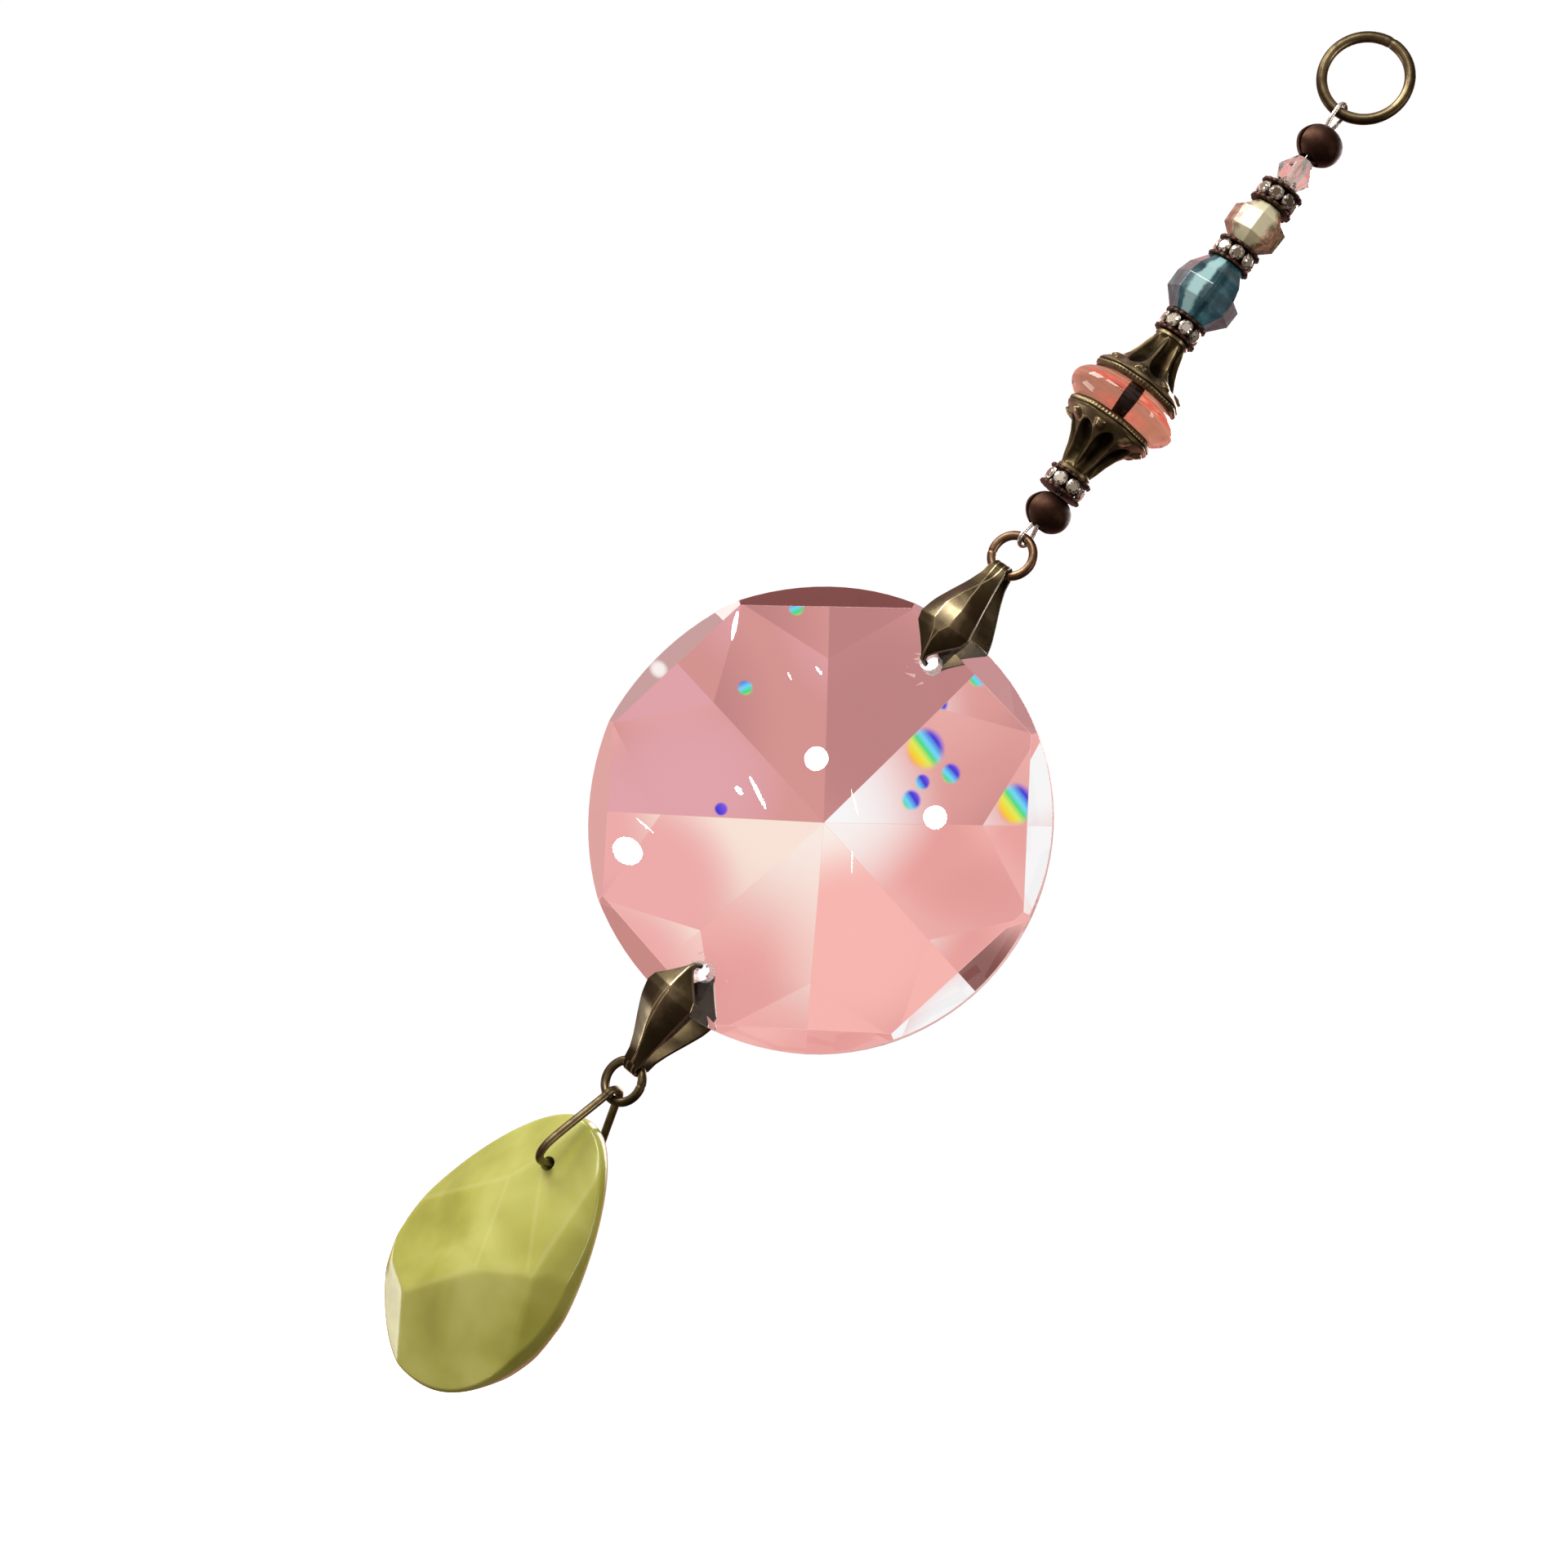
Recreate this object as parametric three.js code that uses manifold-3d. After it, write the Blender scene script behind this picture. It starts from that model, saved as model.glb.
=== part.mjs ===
// Crystal suncatcher: a string of small beads, a large faceted crystal disc and a
// stone drop, hung one below the other. Millimetres, +Z up, crystal facing -Y.
// The origin is the inside top of the hanging ring, where a hook carries it.
import * as THREE from 'three';
import { mergeVertices } from 'three/addons/utils/BufferGeometryUtils.js';
import { ConvexGeometry } from 'three/addons/geometries/ConvexGeometry.js';
import Module from 'manifold-3d';

const wasm = await Module();
wasm.setup();

// Driving dimensions, in millimetres and degrees.
const hangRing = { bore: 8.0, wire: 1.2 };
const bailRing = { bore: 3.6, wire: 1.0 };
const stringWire = { size: 0.5, clearance: 0.1, bow: 0.95, neck: 0.42, tail: 0.7, turn: -22 };
const beadGap = 0.1;
const beadBore = 0.6; // radius of the hole along each bead
const crimpCover = { width: 5.2, height: 4.3, wall: 0.45, mouth: 1.2, seam: 0.6 };
const crimpShift = { x: 0.28, y: 0.22, seamTurn: 218 };
const clearBead = { width: 4.2, height: 3.8 };
const champagneBead = { width: 6.4, height: 5.0 };
const blueBead = { width: 8.0, height: 7.0 };
const pinkBead = { width: 12.8, height: 5.5 };
const rondelle = { width: 5.0, height: 2.4, flange: 0.42, core: 1.3, stones: 8 };
const stone = { girdle: 0.68, table: 0.42, crown: 0.26, pavilion: 0.55 };
const beadCap = { length: 7.1, petals: 8, lipToBeadCentre: 1.9 };
const crystal = { radius: 25.0, front: 2.4, rimBack: 0.8, apex: 7.05, sides: 96 };
const crystalCut = { mains: 8, bevelSlope: 30, bevelReach: 22.5, girdleSlope: 16.7, turn: -11 };
const crystalHole = { radius: 1.1, reach: 20.4 };
const bail = { sheet: 0.45, foldRadius: 0.72, foldHalfWidth: 0.8, neckHalfWidth: 1.05 };
const prong = { halfWidth: 0.26, crown: 0.04, bend: 0.35, dip: 0.3, endDip: 0.4, endY: 1.5 };
const bailTurn = { upper: -12, lower: -15 };
const bailRingTurn = { upper: -12, lower: -22 };
const dropWire = { size: 0.9, bow: 1.25, clearance: 0.15, gape: 4.9, tipY: 0.75, turn: -20 };
const drop = { length: 33.3, width: 22.0, edge: 3.0, egg: 0.14, hole: 0.8, holeBelowTop: 6.0 };

// Distances between neighbours along the string.
const crimpToRingWire = 4.1;
const crimpToBailRing = 6.0;
const ringToCrystal = 34.8;
const ringToDropHole = 11.5;

// Heights down the string, from the origin.
const hangRingZ = -hangRing.bore / 2;
const hangRingLowWire = -hangRing.bore - hangRing.wire / 2;
const upperCrimpZ = hangRingLowWire - crimpToRingWire;
const clearZ = upperCrimpZ - crimpCover.height / 2 - beadGap - clearBead.height / 2;
const step = (a, b) => a / 2 + beadGap + b / 2;
const rondelle1Z = clearZ - step(clearBead.height, rondelle.height);
const champagneZ = rondelle1Z - step(rondelle.height, champagneBead.height);
const rondelle2Z = champagneZ - step(champagneBead.height, rondelle.height);
const blueZ = rondelle2Z - step(rondelle.height, blueBead.height);
const rondelle3Z = blueZ - step(blueBead.height, rondelle.height);
const capEndFromBead = beadCap.length + beadCap.lipToBeadCentre;
const pinkZ = rondelle3Z - rondelle.height / 2 - beadGap - capEndFromBead;
const rondelle4Z = pinkZ - capEndFromBead - beadGap - rondelle.height / 2;
const lowerCrimpZ = rondelle4Z - step(rondelle.height, crimpCover.height);
const upperRingZ = lowerCrimpZ - crimpToBailRing;
const crystalZ = upperRingZ - ringToCrystal;
const lowerRingZ = crystalZ - ringToCrystal;
const dropHoleZ = lowerRingZ - ringToDropHole;
const dropZ = dropHoleZ + drop.holeBelowTop - drop.length / 2;

const rad = THREE.MathUtils.degToRad;

const finish = {
  bronze: new THREE.MeshStandardMaterial({ color: '#5c4a33', roughness: 0.42, metalness: 1 }),
  darkBronze: new THREE.MeshStandardMaterial({ color: '#35241c', roughness: 0.6, metalness: 1 }),
  silver: new THREE.MeshStandardMaterial({ color: '#dcdad6', roughness: 0.3, metalness: 1 }),
  rhinestone: new THREE.MeshStandardMaterial({ color: '#f0ece2', roughness: 0.08, metalness: 0 }),
  clear: new THREE.MeshStandardMaterial({ color: '#f4f2f0', roughness: 0.03, metalness: 0 }),
  champagne: new THREE.MeshStandardMaterial({ color: '#c9bc93', roughness: 0.12, metalness: 0 }),
  blue: new THREE.MeshStandardMaterial({ color: '#4f8590', roughness: 0.08, metalness: 0 }),
  pink: new THREE.MeshStandardMaterial({ color: '#e0a488', roughness: 0.06, metalness: 0 }),
  jade: new THREE.MeshStandardMaterial({ color: '#b5b556', roughness: 0.22, metalness: 0 }),
};

const suncatcher = new THREE.Group();

function place(name, geometry, material, { x = 0, y = 0, z = 0, turn = 0 } = {}) {
  const mesh = new THREE.Mesh(geometry, material);
  mesh.name = name;
  mesh.position.set(x, y, z);
  mesh.rotation.z = rad(turn);
  suncatcher.add(mesh);
  return mesh;
}

// A closed geometry with only positions and shared corners.
function welded(geometry) {
  const bare = geometry.clone();
  bare.deleteAttribute('normal');
  bare.deleteAttribute('uv');
  return mergeVertices(bare, 1e-4);
}

function toSolid(geometry) {
  const shared = welded(geometry);
  return new wasm.Manifold(new wasm.Mesh({
    numProp: 3,
    vertProperties: new Float32Array(shared.attributes.position.array),
    triVerts: new Uint32Array(shared.index.array),
  }));
}

function toGeometry(solid) {
  const mesh = solid.getMesh();
  const geometry = new THREE.BufferGeometry();
  geometry.setAttribute('position', new THREE.BufferAttribute(mesh.vertProperties, 3));
  geometry.setIndex(new THREE.BufferAttribute(mesh.triVerts, 1));
  return geometry;
}

function carve(geometry, cutters) {
  let solid = toSolid(geometry);
  for (const cutter of cutters) solid = solid.subtract(toSolid(cutter));
  return toGeometry(solid);
}

// A profile of [radius, height] points turned round Z. It runs anticlockwise, with the
// radius to the right and the height up, and closes on itself or starts and ends on Z.
function turned(profile, segments) {
  const points = profile.map(([r, z]) => new THREE.Vector2(r, z));
  return new THREE.LatheGeometry(points, segments).rotateX(Math.PI / 2);
}

// A skin over rows of corners, each row joined to the next. Where a row is half a step
// on from the last, the triangles lean the other way, so the facets stay even.
function skin(rows, { closed = false, leans = [], cap = null } = {}) {
  const n = rows[0].length;
  const positions = rows.flat().flatMap((p) => [p.x, p.y, p.z]);
  const index = [];
  const last = closed ? rows.length : rows.length - 1;
  for (let i = 0; i < last; i += 1) {
    for (let j = 0; j < n; j += 1) {
      const a = i * n + j;
      const b = i * n + ((j + 1) % n);
      const c = ((i + 1) % rows.length) * n + ((j + 1) % n);
      const d = ((i + 1) % rows.length) * n + j;
      if (leans[i]) index.push(a, b, d, b, c, d);
      else index.push(a, b, c, a, c, d);
    }
  }
  if (cap) {
    const end = (rows.length - 1) * n;
    for (const [a, b, c] of cap) index.push(a, c, b, end + a, end + b, end + c);
  }
  const geometry = new THREE.BufferGeometry();
  geometry.setAttribute('position', new THREE.Float32BufferAttribute(positions, 3));
  geometry.setIndex(index);
  return geometry;
}

function circleRow(radius, z, sides, shift) {
  return Array.from({ length: sides }, (_, j) => {
    const angle = ((j + shift) / sides) * 2 * Math.PI;
    return new THREE.Vector3(radius * Math.cos(angle), radius * Math.sin(angle), z);
  });
}

// A cut glass bead with a hole along it: rows of [height, radius, shift], low to high.
function facetedBead(rows, sides, bore) {
  const [lowZ, , lowShift] = rows[0];
  const [highZ, , highShift] = rows[rows.length - 1];
  const all = [[lowZ, bore, lowShift], ...rows, [highZ, bore, highShift]];
  const leans = all.map(([, , shift], i) => i + 1 < all.length && all[i + 1][2] > shift);
  leans[all.length - 1] = all[0][2] > highShift;
  const circles = all.map(([z, r, shift]) => circleRow(r, z, sides, shift));
  return skin(circles, { closed: true, leans });
}

function wireRing({ bore, wire }) {
  return new THREE.TorusGeometry((bore + wire) / 2, wire / 2, 8, 24).rotateX(Math.PI / 2);
}

// A round wire swept along [y, z] points of a flat route, with flat ends.
function flatWire(route, size, sides = 6) {
  const points = route.map(([y, z]) => new THREE.Vector3(0, y, z));
  const rows = points.map((p, i) => {
    const before = points[Math.max(i - 1, 0)];
    const after = points[Math.min(i + 1, points.length - 1)];
    const along = after.clone().sub(before).normalize();
    const side = new THREE.Vector3(1, 0, 0);
    const up = along.clone().cross(side);
    return Array.from({ length: sides }, (_, j) => {
      const angle = (j / sides) * 2 * Math.PI;
      return p.clone()
        .addScaledVector(side, Math.cos(angle) * size / 2)
        .addScaledVector(up, Math.sin(angle) * size / 2);
    });
  });
  const cap = Array.from({ length: sides - 2 }, (_, j) => [0, j + 1, j + 2]);
  return skin(rows, { cap });
}

// Half an oval bow of [y, z] points, from one side up or down round a crest to the other.
function bow(halfWidth, wireZ, crestZ, steps) {
  return Array.from({ length: steps + 1 }, (_, i) => {
    const angle = (i / steps) * Math.PI;
    return [halfWidth * Math.cos(angle), wireZ + (crestZ - wireZ) * Math.sin(angle)];
  });
}

// Hanging ring, which a hook goes through.
place('hanging_ring', wireRing(hangRing), finish.bronze, { z: hangRingZ });

// Stringing wire: one length through every bead, with a bow round a ring at each end.
const wireReach = stringWire.size / 2 + stringWire.clearance;
const topCrest = hangRingLowWire + hangRing.wire / 2 + wireReach;
const lowRingWireZ = upperRingZ + (bailRing.bore + bailRing.wire) / 2;
const lowCrest = lowRingWireZ - bailRing.wire / 2 - wireReach;
const coverHalf = crimpCover.height / 2;
const neckUp = coverHalf - 0.4;
const flareUp = coverHalf + 1.0;
const flare = stringWire.bow * 0.92;
const wireRoute = [
  [stringWire.neck - 0.05, upperCrimpZ - stringWire.tail],
  [stringWire.neck, upperCrimpZ + neckUp],
  [flare, upperCrimpZ + flareUp],
  ...bow(stringWire.bow, hangRingLowWire, topCrest, 10),
  [-flare, upperCrimpZ + flareUp],
  [-stringWire.neck, upperCrimpZ + neckUp],
  [-0.25, upperCrimpZ],
  [0, upperCrimpZ - coverHalf],
  [0, pinkZ],
  [0, lowerCrimpZ + coverHalf],
  [-0.25, lowerCrimpZ],
  [-stringWire.neck, lowerCrimpZ - neckUp],
  [-flare, lowerCrimpZ - flareUp],
  ...bow(stringWire.bow, lowRingWireZ, lowCrest, 10).reverse(),
  [flare, lowerCrimpZ - flareUp],
  [stringWire.neck, lowerCrimpZ - neckUp],
  [stringWire.neck - 0.05, lowerCrimpZ + stringWire.tail],
];
place('stringing_wire', flatWire(wireRoute, stringWire.size), finish.silver, {
  turn: stringWire.turn,
});

// Crimp covers: a thin shell folded round the crimp, open at both ends and along a seam.
function crimpCoverShell() {
  const { width, height, wall, mouth, seam } = crimpCover;
  const steps = 6;
  const shell = (rx, rz) => {
    const start = Math.acos(Math.min(1, mouth / rx));
    return Array.from({ length: steps + 1 }, (_, i) => {
      const angle = -start + (2 * start * i) / steps;
      return [rx * Math.cos(angle), rz * Math.sin(angle)];
    });
  };
  const outer = shell(width / 2, height / 2);
  const inner = shell(width / 2 - wall, height / 2 - wall).reverse();
  const profile = [...outer, ...inner, outer[0]];
  const slot = new THREE.BoxGeometry(width, seam, height * 2).translate(width / 2, 0, 0);
  return carve(turned(profile, 16), [slot]);
}
for (const [name, z] of [['crimp_cover_upper', upperCrimpZ], ['crimp_cover_lower', lowerCrimpZ]]) {
  place(name, crimpCoverShell(), finish.darkBronze, {
    x: crimpShift.x, y: crimpShift.y, z, turn: crimpShift.seamTurn,
  });
}

// Cut glass beads. Each row is [height, radius, shift], as shares of the half sizes.
function bead({ width, height }, shares, sides) {
  const rows = shares.map(([h, r, shift]) => [h * height / 2, r * width / 2, shift]);
  return facetedBead(rows, sides, beadBore);
}
const clearRows = [[-1, 0.5, 0], [0, 1, 0.5], [1, 0.5, 0]];
const champagneRows = [[-1, 0.52, 0], [-0.5, 0.98, 0.5], [0.42, 1, 0.5], [1, 0.56, 0]];
const blueRows = [[-1, 0.6, 0], [-0.48, 1, 0.5], [0.3, 0.95, 0.5], [1, 0.58, 0]];
place('clear_bead', bead(clearBead, clearRows, 8), finish.clear, { z: clearZ });
place('champagne_bead', bead(champagneBead, champagneRows, 8), finish.champagne, {
  z: champagneZ, turn: 8,
});
place('blue_bead', bead(blueBead, blueRows, 8), finish.blue, { z: blueZ, turn: -5 });

// Pink bead: a smooth saucer, an ellipse in section.
const pinkSteps = 9;
const pinkStart = Math.acos(0.3);
const pinkProfile = Array.from({ length: pinkSteps + 1 }, (_, i) => {
  const angle = -pinkStart + (2 * pinkStart * i) / pinkSteps;
  return [pinkBead.width / 2 * Math.cos(angle), pinkBead.height / 2 * Math.sin(angle)];
});
const pinkLow = pinkProfile[0][1];
place('pink_bead', turned([
  [beadBore, pinkLow], ...pinkProfile, [beadBore, -pinkLow], [beadBore, pinkLow],
], 24), finish.pink, { z: pinkZ });

// Bead caps: fluted cones that flare to a thick scalloped rim cupped over the pink bead.
// Rows are [distance from the narrow end, radius, depth of the flutes].
const capOuter = [
  [7.1, 4.95, 0.1], [6.75, 5.2, 0.16], [5.9, 5.15, 0.22], [5.45, 4.45, 0.3],
  [4.6, 3.6, 0.34], [3.2, 2.75, 0.24], [1.4, 2.15, 0.12], [0.4, 1.85, 0.04], [0, 1.95, 0],
];
const capInner = [[0, 0.6, 0], [6.05, 0.6, 0], [6.05, 3.55, 0], [6.45, 4.0, 0], [7.1, 4.75, 0]];
function capGeometry() {
  const sides = beadCap.petals * 4;
  const rows = [...capInner, ...capOuter].map(([along, radius, flute]) => (
    Array.from({ length: sides }, (_, j) => {
      const angle = (j / sides) * 2 * Math.PI;
      const r = radius - flute * (0.5 - 0.5 * Math.cos(beadCap.petals * angle));
      return new THREE.Vector3(r * Math.cos(angle), r * Math.sin(angle), along);
    })
  ));
  return skin(rows.reverse(), { closed: true });
}
place('bead_cap_upper', capGeometry(), finish.bronze, { z: pinkZ + capEndFromBead })
  .rotation.x = Math.PI;
place('bead_cap_lower', capGeometry(), finish.bronze, { z: pinkZ - capEndFromBead });

// Rhinestone rondelles: two flanges on a core, with cut stones set round between them.
function rondelleFrame() {
  const outer = rondelle.width / 2;
  const high = rondelle.height / 2;
  const low = high - rondelle.flange;
  return turned([
    [beadBore, -high], [outer, -high], [outer, -low], [rondelle.core, -low],
    [rondelle.core, low], [outer, low], [outer, high], [beadBore, high], [beadBore, -high],
  ], 20);
}
function cutStone() {
  const { girdle, table, crown, pavilion } = stone;
  return turned([[0, -pavilion], [girdle, 0], [table, crown], [0, crown]], 8);
}
const rondelleHeights = [rondelle1Z, rondelle2Z, rondelle3Z, rondelle4Z];
rondelleHeights.forEach((z, i) => {
  const name = `rondelle${i + 1}`;
  place(`${name}_frame`, rondelleFrame(), finish.bronze, { z });
  for (let k = 0; k < rondelle.stones; k += 1) {
    const angle = ((k + 0.25 * i) / rondelle.stones) * 2 * Math.PI;
    const reach = rondelle.width / 2 - stone.crown - 0.1;
    const setting = new THREE.Group();
    setting.rotation.z = angle;
    setting.position.z = z;
    const cut = new THREE.Mesh(cutStone(), finish.rhinestone);
    cut.name = `${name}_stone${k + 1}`;
    cut.position.x = reach;
    cut.rotation.y = Math.PI / 2;
    setting.add(cut);
    suncatcher.add(setting);
  }
});

// Pinch bails: one strip of sheet folded over the ring's wire, each end a ridged leaf
// that reaches over the crystal's edge and turns in as a prong at its drilled hole.
// Leaf stations are [share of the way, half width, ridge height, half width of panel],
// along the inside of the front leaf, whose points are [forward, height from the ring].
const leafStations = [
  [0, 1.15, 0.0, 0.4], [0.1, 1.25, 0.2, 0.3], [0.22, 1.6, 0.55, 0.04], [0.4, 2.25, 1.0, 0.5],
  [0.56, 2.85, 1.15, 1.0], [0.7, 3.25, 1.15, 0.95], [0.78, 2.95, 1.1, 0.3],
  [0.88, 1.7, 0.75, 0.04], [0.97, 0.65, 0.3, 0.04], [1, 0.4, 0.12, 0.04],
];
const leafPoints = [
  [bail.foldRadius, -2.3], [0.95, -3.6], [1.6, -5.6], [2.35, -7.5], [2.9, -9.3], [3.0, -11.2],
  [3.0, -13.2], [2.9, -14.2],
];
const leafRoute = new THREE.CatmullRomCurve3(
  leafPoints.map(([forward, z]) => new THREE.Vector3(0, -forward, z)), false, 'centripetal',
);
function bailGeometry() {
  const foldZ = -(bailRing.bore + bailRing.wire) / 2;
  const foldSteps = 4;
  const half = [];
  for (let i = 0; i < foldSteps; i += 1) {
    const share = i / foldSteps;
    const angle = share * (Math.PI / 2);
    const out = new THREE.Vector3(0, -Math.sin(angle), Math.cos(angle));
    const at = out.clone().multiplyScalar(bail.foldRadius).add(new THREE.Vector3(0, 0, foldZ));
    const width = THREE.MathUtils.lerp(bail.foldHalfWidth, bail.neckHalfWidth, share);
    half.push({ at, out, width, ridge: 0, panel: 0.4 });
  }
  for (const [share, width, ridge, panel] of leafStations) {
    const at = leafRoute.getPointAt(share);
    const along = leafRoute.getTangentAt(share);
    half.push({ at, out: new THREE.Vector3(0, along.z, -along.y), width, ridge, panel });
  }
  const tip = leafRoute.getPointAt(1);
  const slim = { width: prong.halfWidth, ridge: prong.crown, panel: prong.crown };
  half.push({
    at: new THREE.Vector3(0, tip.y + prong.bend, tip.z - prong.dip),
    out: new THREE.Vector3(0, -1, -1).normalize(),
    ...slim,
  });
  half.push({
    at: new THREE.Vector3(0, -prong.endY, tip.z - prong.endDip),
    out: new THREE.Vector3(0, 0, -1),
    ...slim,
  });
  const section = ({ at, out, width, ridge, panel }, side) => {
    const corner = (x, lift) => {
      const p = at.clone().addScaledVector(out, lift);
      return new THREE.Vector3(side * x, side * p.y, p.z);
    };
    const sheet = bail.sheet;
    return [
      corner(-width, 0), corner(-width, sheet), corner(-panel, ridge + sheet),
      corner(panel, ridge + sheet), corner(width, sheet), corner(width, 0), corner(0, ridge),
    ];
  };
  const front = half.map((station) => section(station, 1));
  const back = half.slice(1).map((station) => section(station, -1));
  const swapped = back.map(([a, b, c, d, e, f, g]) => [f, e, d, c, b, a, g]);
  const rows = [...front.reverse(), ...swapped];
  const cap = [[6, 0, 1], [6, 1, 2], [6, 2, 3], [6, 3, 4], [6, 4, 5]];
  return skin(rows, { cap });
}
place('bail_ring_upper', wireRing(bailRing), finish.bronze, {
  z: upperRingZ, turn: bailRingTurn.upper,
});
place('bail_ring_lower', wireRing(bailRing), finish.bronze, {
  z: lowerRingZ, turn: bailRingTurn.lower,
});
place('bail_upper', bailGeometry(), finish.bronze, { z: upperRingZ, turn: bailTurn.upper });
place('bail_lower', bailGeometry(), finish.bronze, { z: lowerRingZ, turn: -bailTurn.lower })
  .rotation.x = Math.PI;

// Crystal: a round blank cut flat by planes. The front is one wide flat table inside
// eight bevels; the back has eight long facets from the middle and sixteen at the rim.
function crystalGeometry() {
  const blank = new THREE.CylinderGeometry(
    crystal.radius, crystal.radius, crystal.front + crystal.apex + 1, crystal.sides,
  ).translate(0, (crystal.apex + 1 - crystal.front) / 2, 0);
  const planes = [];
  const facet = (clock, slope, reach, y, side) => {
    const angle = rad(clock);
    const lean = rad(slope);
    const across = new THREE.Vector3(Math.cos(angle), 0, Math.sin(angle));
    const out = across.clone().multiplyScalar(Math.sin(lean));
    out.y = side * Math.cos(lean);
    const at = across.clone().multiplyScalar(reach);
    at.y = y;
    planes.push({ out, at });
  };
  const { mains, turn } = crystalCut;
  const rimReach = crystal.radius * Math.cos(Math.PI / (2 * mains));
  const mainSlope = Math.atan((crystal.apex - crystal.rimBack) / crystal.radius);
  for (let k = 0; k < mains; k += 1) {
    const main = turn + ((k + 0.5) * 360) / mains;
    facet(main, THREE.MathUtils.radToDeg(mainSlope), 0, crystal.apex, 1);
    for (const aside of [-90 / mains, 90 / mains]) {
      facet(main + aside, crystalCut.girdleSlope, rimReach, crystal.rimBack, 1);
    }
    facet(turn + (k * 360) / mains, crystalCut.bevelSlope, crystalCut.bevelReach, -crystal.front, -1);
  }
  const slab = { across: crystal.radius * 5, thick: crystal.radius };
  const cutters = planes.map(({ out, at }) => {
    const box = new THREE.BoxGeometry(slab.across, slab.thick, slab.across);
    const tilt = new THREE.Quaternion().setFromUnitVectors(new THREE.Vector3(0, 1, 0), out);
    const middle = at.clone().addScaledVector(out, slab.thick / 2);
    return box.applyQuaternion(tilt).translate(middle.x, middle.y, middle.z);
  });
  for (const end of [-1, 1]) {
    const { radius, reach } = crystalHole;
    const drill = new THREE.CylinderGeometry(radius, radius, crystal.radius, 16);
    cutters.push(drill.translate(0, 0, end * reach));
  }
  return carve(blank, cutters);
}
place('crystal', crystalGeometry(), finish.clear, { z: crystalZ });

// Stone drop: an egg-shaped outline with a blunt edge, and broad hand-cut facets.
// The corners where the front's facets meet are [x, height, depth from the middle].
const dropCorners = [
  [1.6, -2.4, 4.3], [-1.2, 5.4, 3.9], [7.3, 1.2, 3.4], [-3.3, -10.4, 3.2], [-6.7, 0.2, 3.3],
  [6.0, 8.4, 3.0], [7.4, -8.6, 2.8], [0.6, 12.6, 2.7], [-5.2, 8.6, 2.9], [1.5, -13.6, 2.5],
];
function dropGeometry() {
  const sides = 20;
  const points = [];
  for (let i = 0; i < sides; i += 1) {
    const angle = ((i + 0.5) / sides) * 2 * Math.PI;
    const x = (drop.width / 2) * Math.sin(angle) * (1 + drop.egg * Math.cos(angle));
    const z = -(drop.length / 2) * Math.cos(angle);
    points.push(new THREE.Vector3(x, -drop.edge / 2, z), new THREE.Vector3(x, drop.edge / 2, z));
  }
  for (const [x, z, depth] of dropCorners) {
    points.push(new THREE.Vector3(x, -depth, z), new THREE.Vector3(-x, depth, z));
  }
  const hole = new THREE.CylinderGeometry(drop.hole, drop.hole, drop.width, 12)
    .translate(0, 0, dropHoleZ - dropZ);
  return carve(new ConvexGeometry(points), [hole]);
}
place('stone_drop', dropGeometry(), finish.jade, { z: dropZ, turn: dropWire.turn });

// Drop wire: a bow over the lower ring whose two legs turn in to the stone's hole.
const dropRingWireZ = lowerRingZ - (bailRing.bore + bailRing.wire) / 2;
const dropCrest = dropRingWireZ + bailRing.wire / 2 + dropWire.size / 2 + dropWire.clearance;
const dropLeg = [
  [dropWire.tipY, dropHoleZ], [3.4, dropHoleZ], [4.5, dropHoleZ + 0.35],
  [dropWire.gape, dropHoleZ + 1.3], [4.5, dropHoleZ + 2.9], [2.6, dropRingWireZ - 2.6],
];
const dropRoute = [
  ...dropLeg,
  ...bow(dropWire.bow, dropRingWireZ, dropCrest, 8),
  ...dropLeg.map(([y, z]) => [-y, z]).reverse(),
];
place('drop_wire', flatWire(dropRoute, dropWire.size, 8), finish.bronze, { turn: dropWire.turn });

export default suncatcher;
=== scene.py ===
import math

import bmesh
import bpy
import numpy as np
from mathutils import Matrix, Vector

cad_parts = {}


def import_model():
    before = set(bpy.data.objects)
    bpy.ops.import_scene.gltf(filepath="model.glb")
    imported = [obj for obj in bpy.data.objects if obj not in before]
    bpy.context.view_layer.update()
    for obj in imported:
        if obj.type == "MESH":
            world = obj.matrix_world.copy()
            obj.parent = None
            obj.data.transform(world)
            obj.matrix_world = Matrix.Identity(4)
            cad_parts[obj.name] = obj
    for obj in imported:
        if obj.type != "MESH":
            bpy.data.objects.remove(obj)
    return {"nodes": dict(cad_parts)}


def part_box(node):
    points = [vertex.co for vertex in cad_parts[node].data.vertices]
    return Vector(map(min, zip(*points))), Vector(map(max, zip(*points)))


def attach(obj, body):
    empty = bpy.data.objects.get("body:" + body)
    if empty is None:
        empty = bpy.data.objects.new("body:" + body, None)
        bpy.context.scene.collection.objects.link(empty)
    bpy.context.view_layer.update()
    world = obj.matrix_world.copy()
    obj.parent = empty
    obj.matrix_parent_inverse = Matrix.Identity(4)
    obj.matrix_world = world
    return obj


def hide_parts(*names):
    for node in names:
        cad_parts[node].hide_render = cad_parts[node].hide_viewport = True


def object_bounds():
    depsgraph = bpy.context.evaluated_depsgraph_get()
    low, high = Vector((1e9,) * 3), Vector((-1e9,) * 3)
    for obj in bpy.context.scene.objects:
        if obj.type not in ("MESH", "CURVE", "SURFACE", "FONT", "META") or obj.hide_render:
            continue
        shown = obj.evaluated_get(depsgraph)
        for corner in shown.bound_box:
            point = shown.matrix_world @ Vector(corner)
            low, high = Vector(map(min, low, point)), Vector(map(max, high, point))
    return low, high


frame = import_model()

# Crystal suncatcher, hung plumb: beads on a silver wire, a cut crystal disc and a stone drop.
# Lengths below are millimetres unless a line says otherwise; meshes are stored in metres.
mm = 0.001
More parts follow.
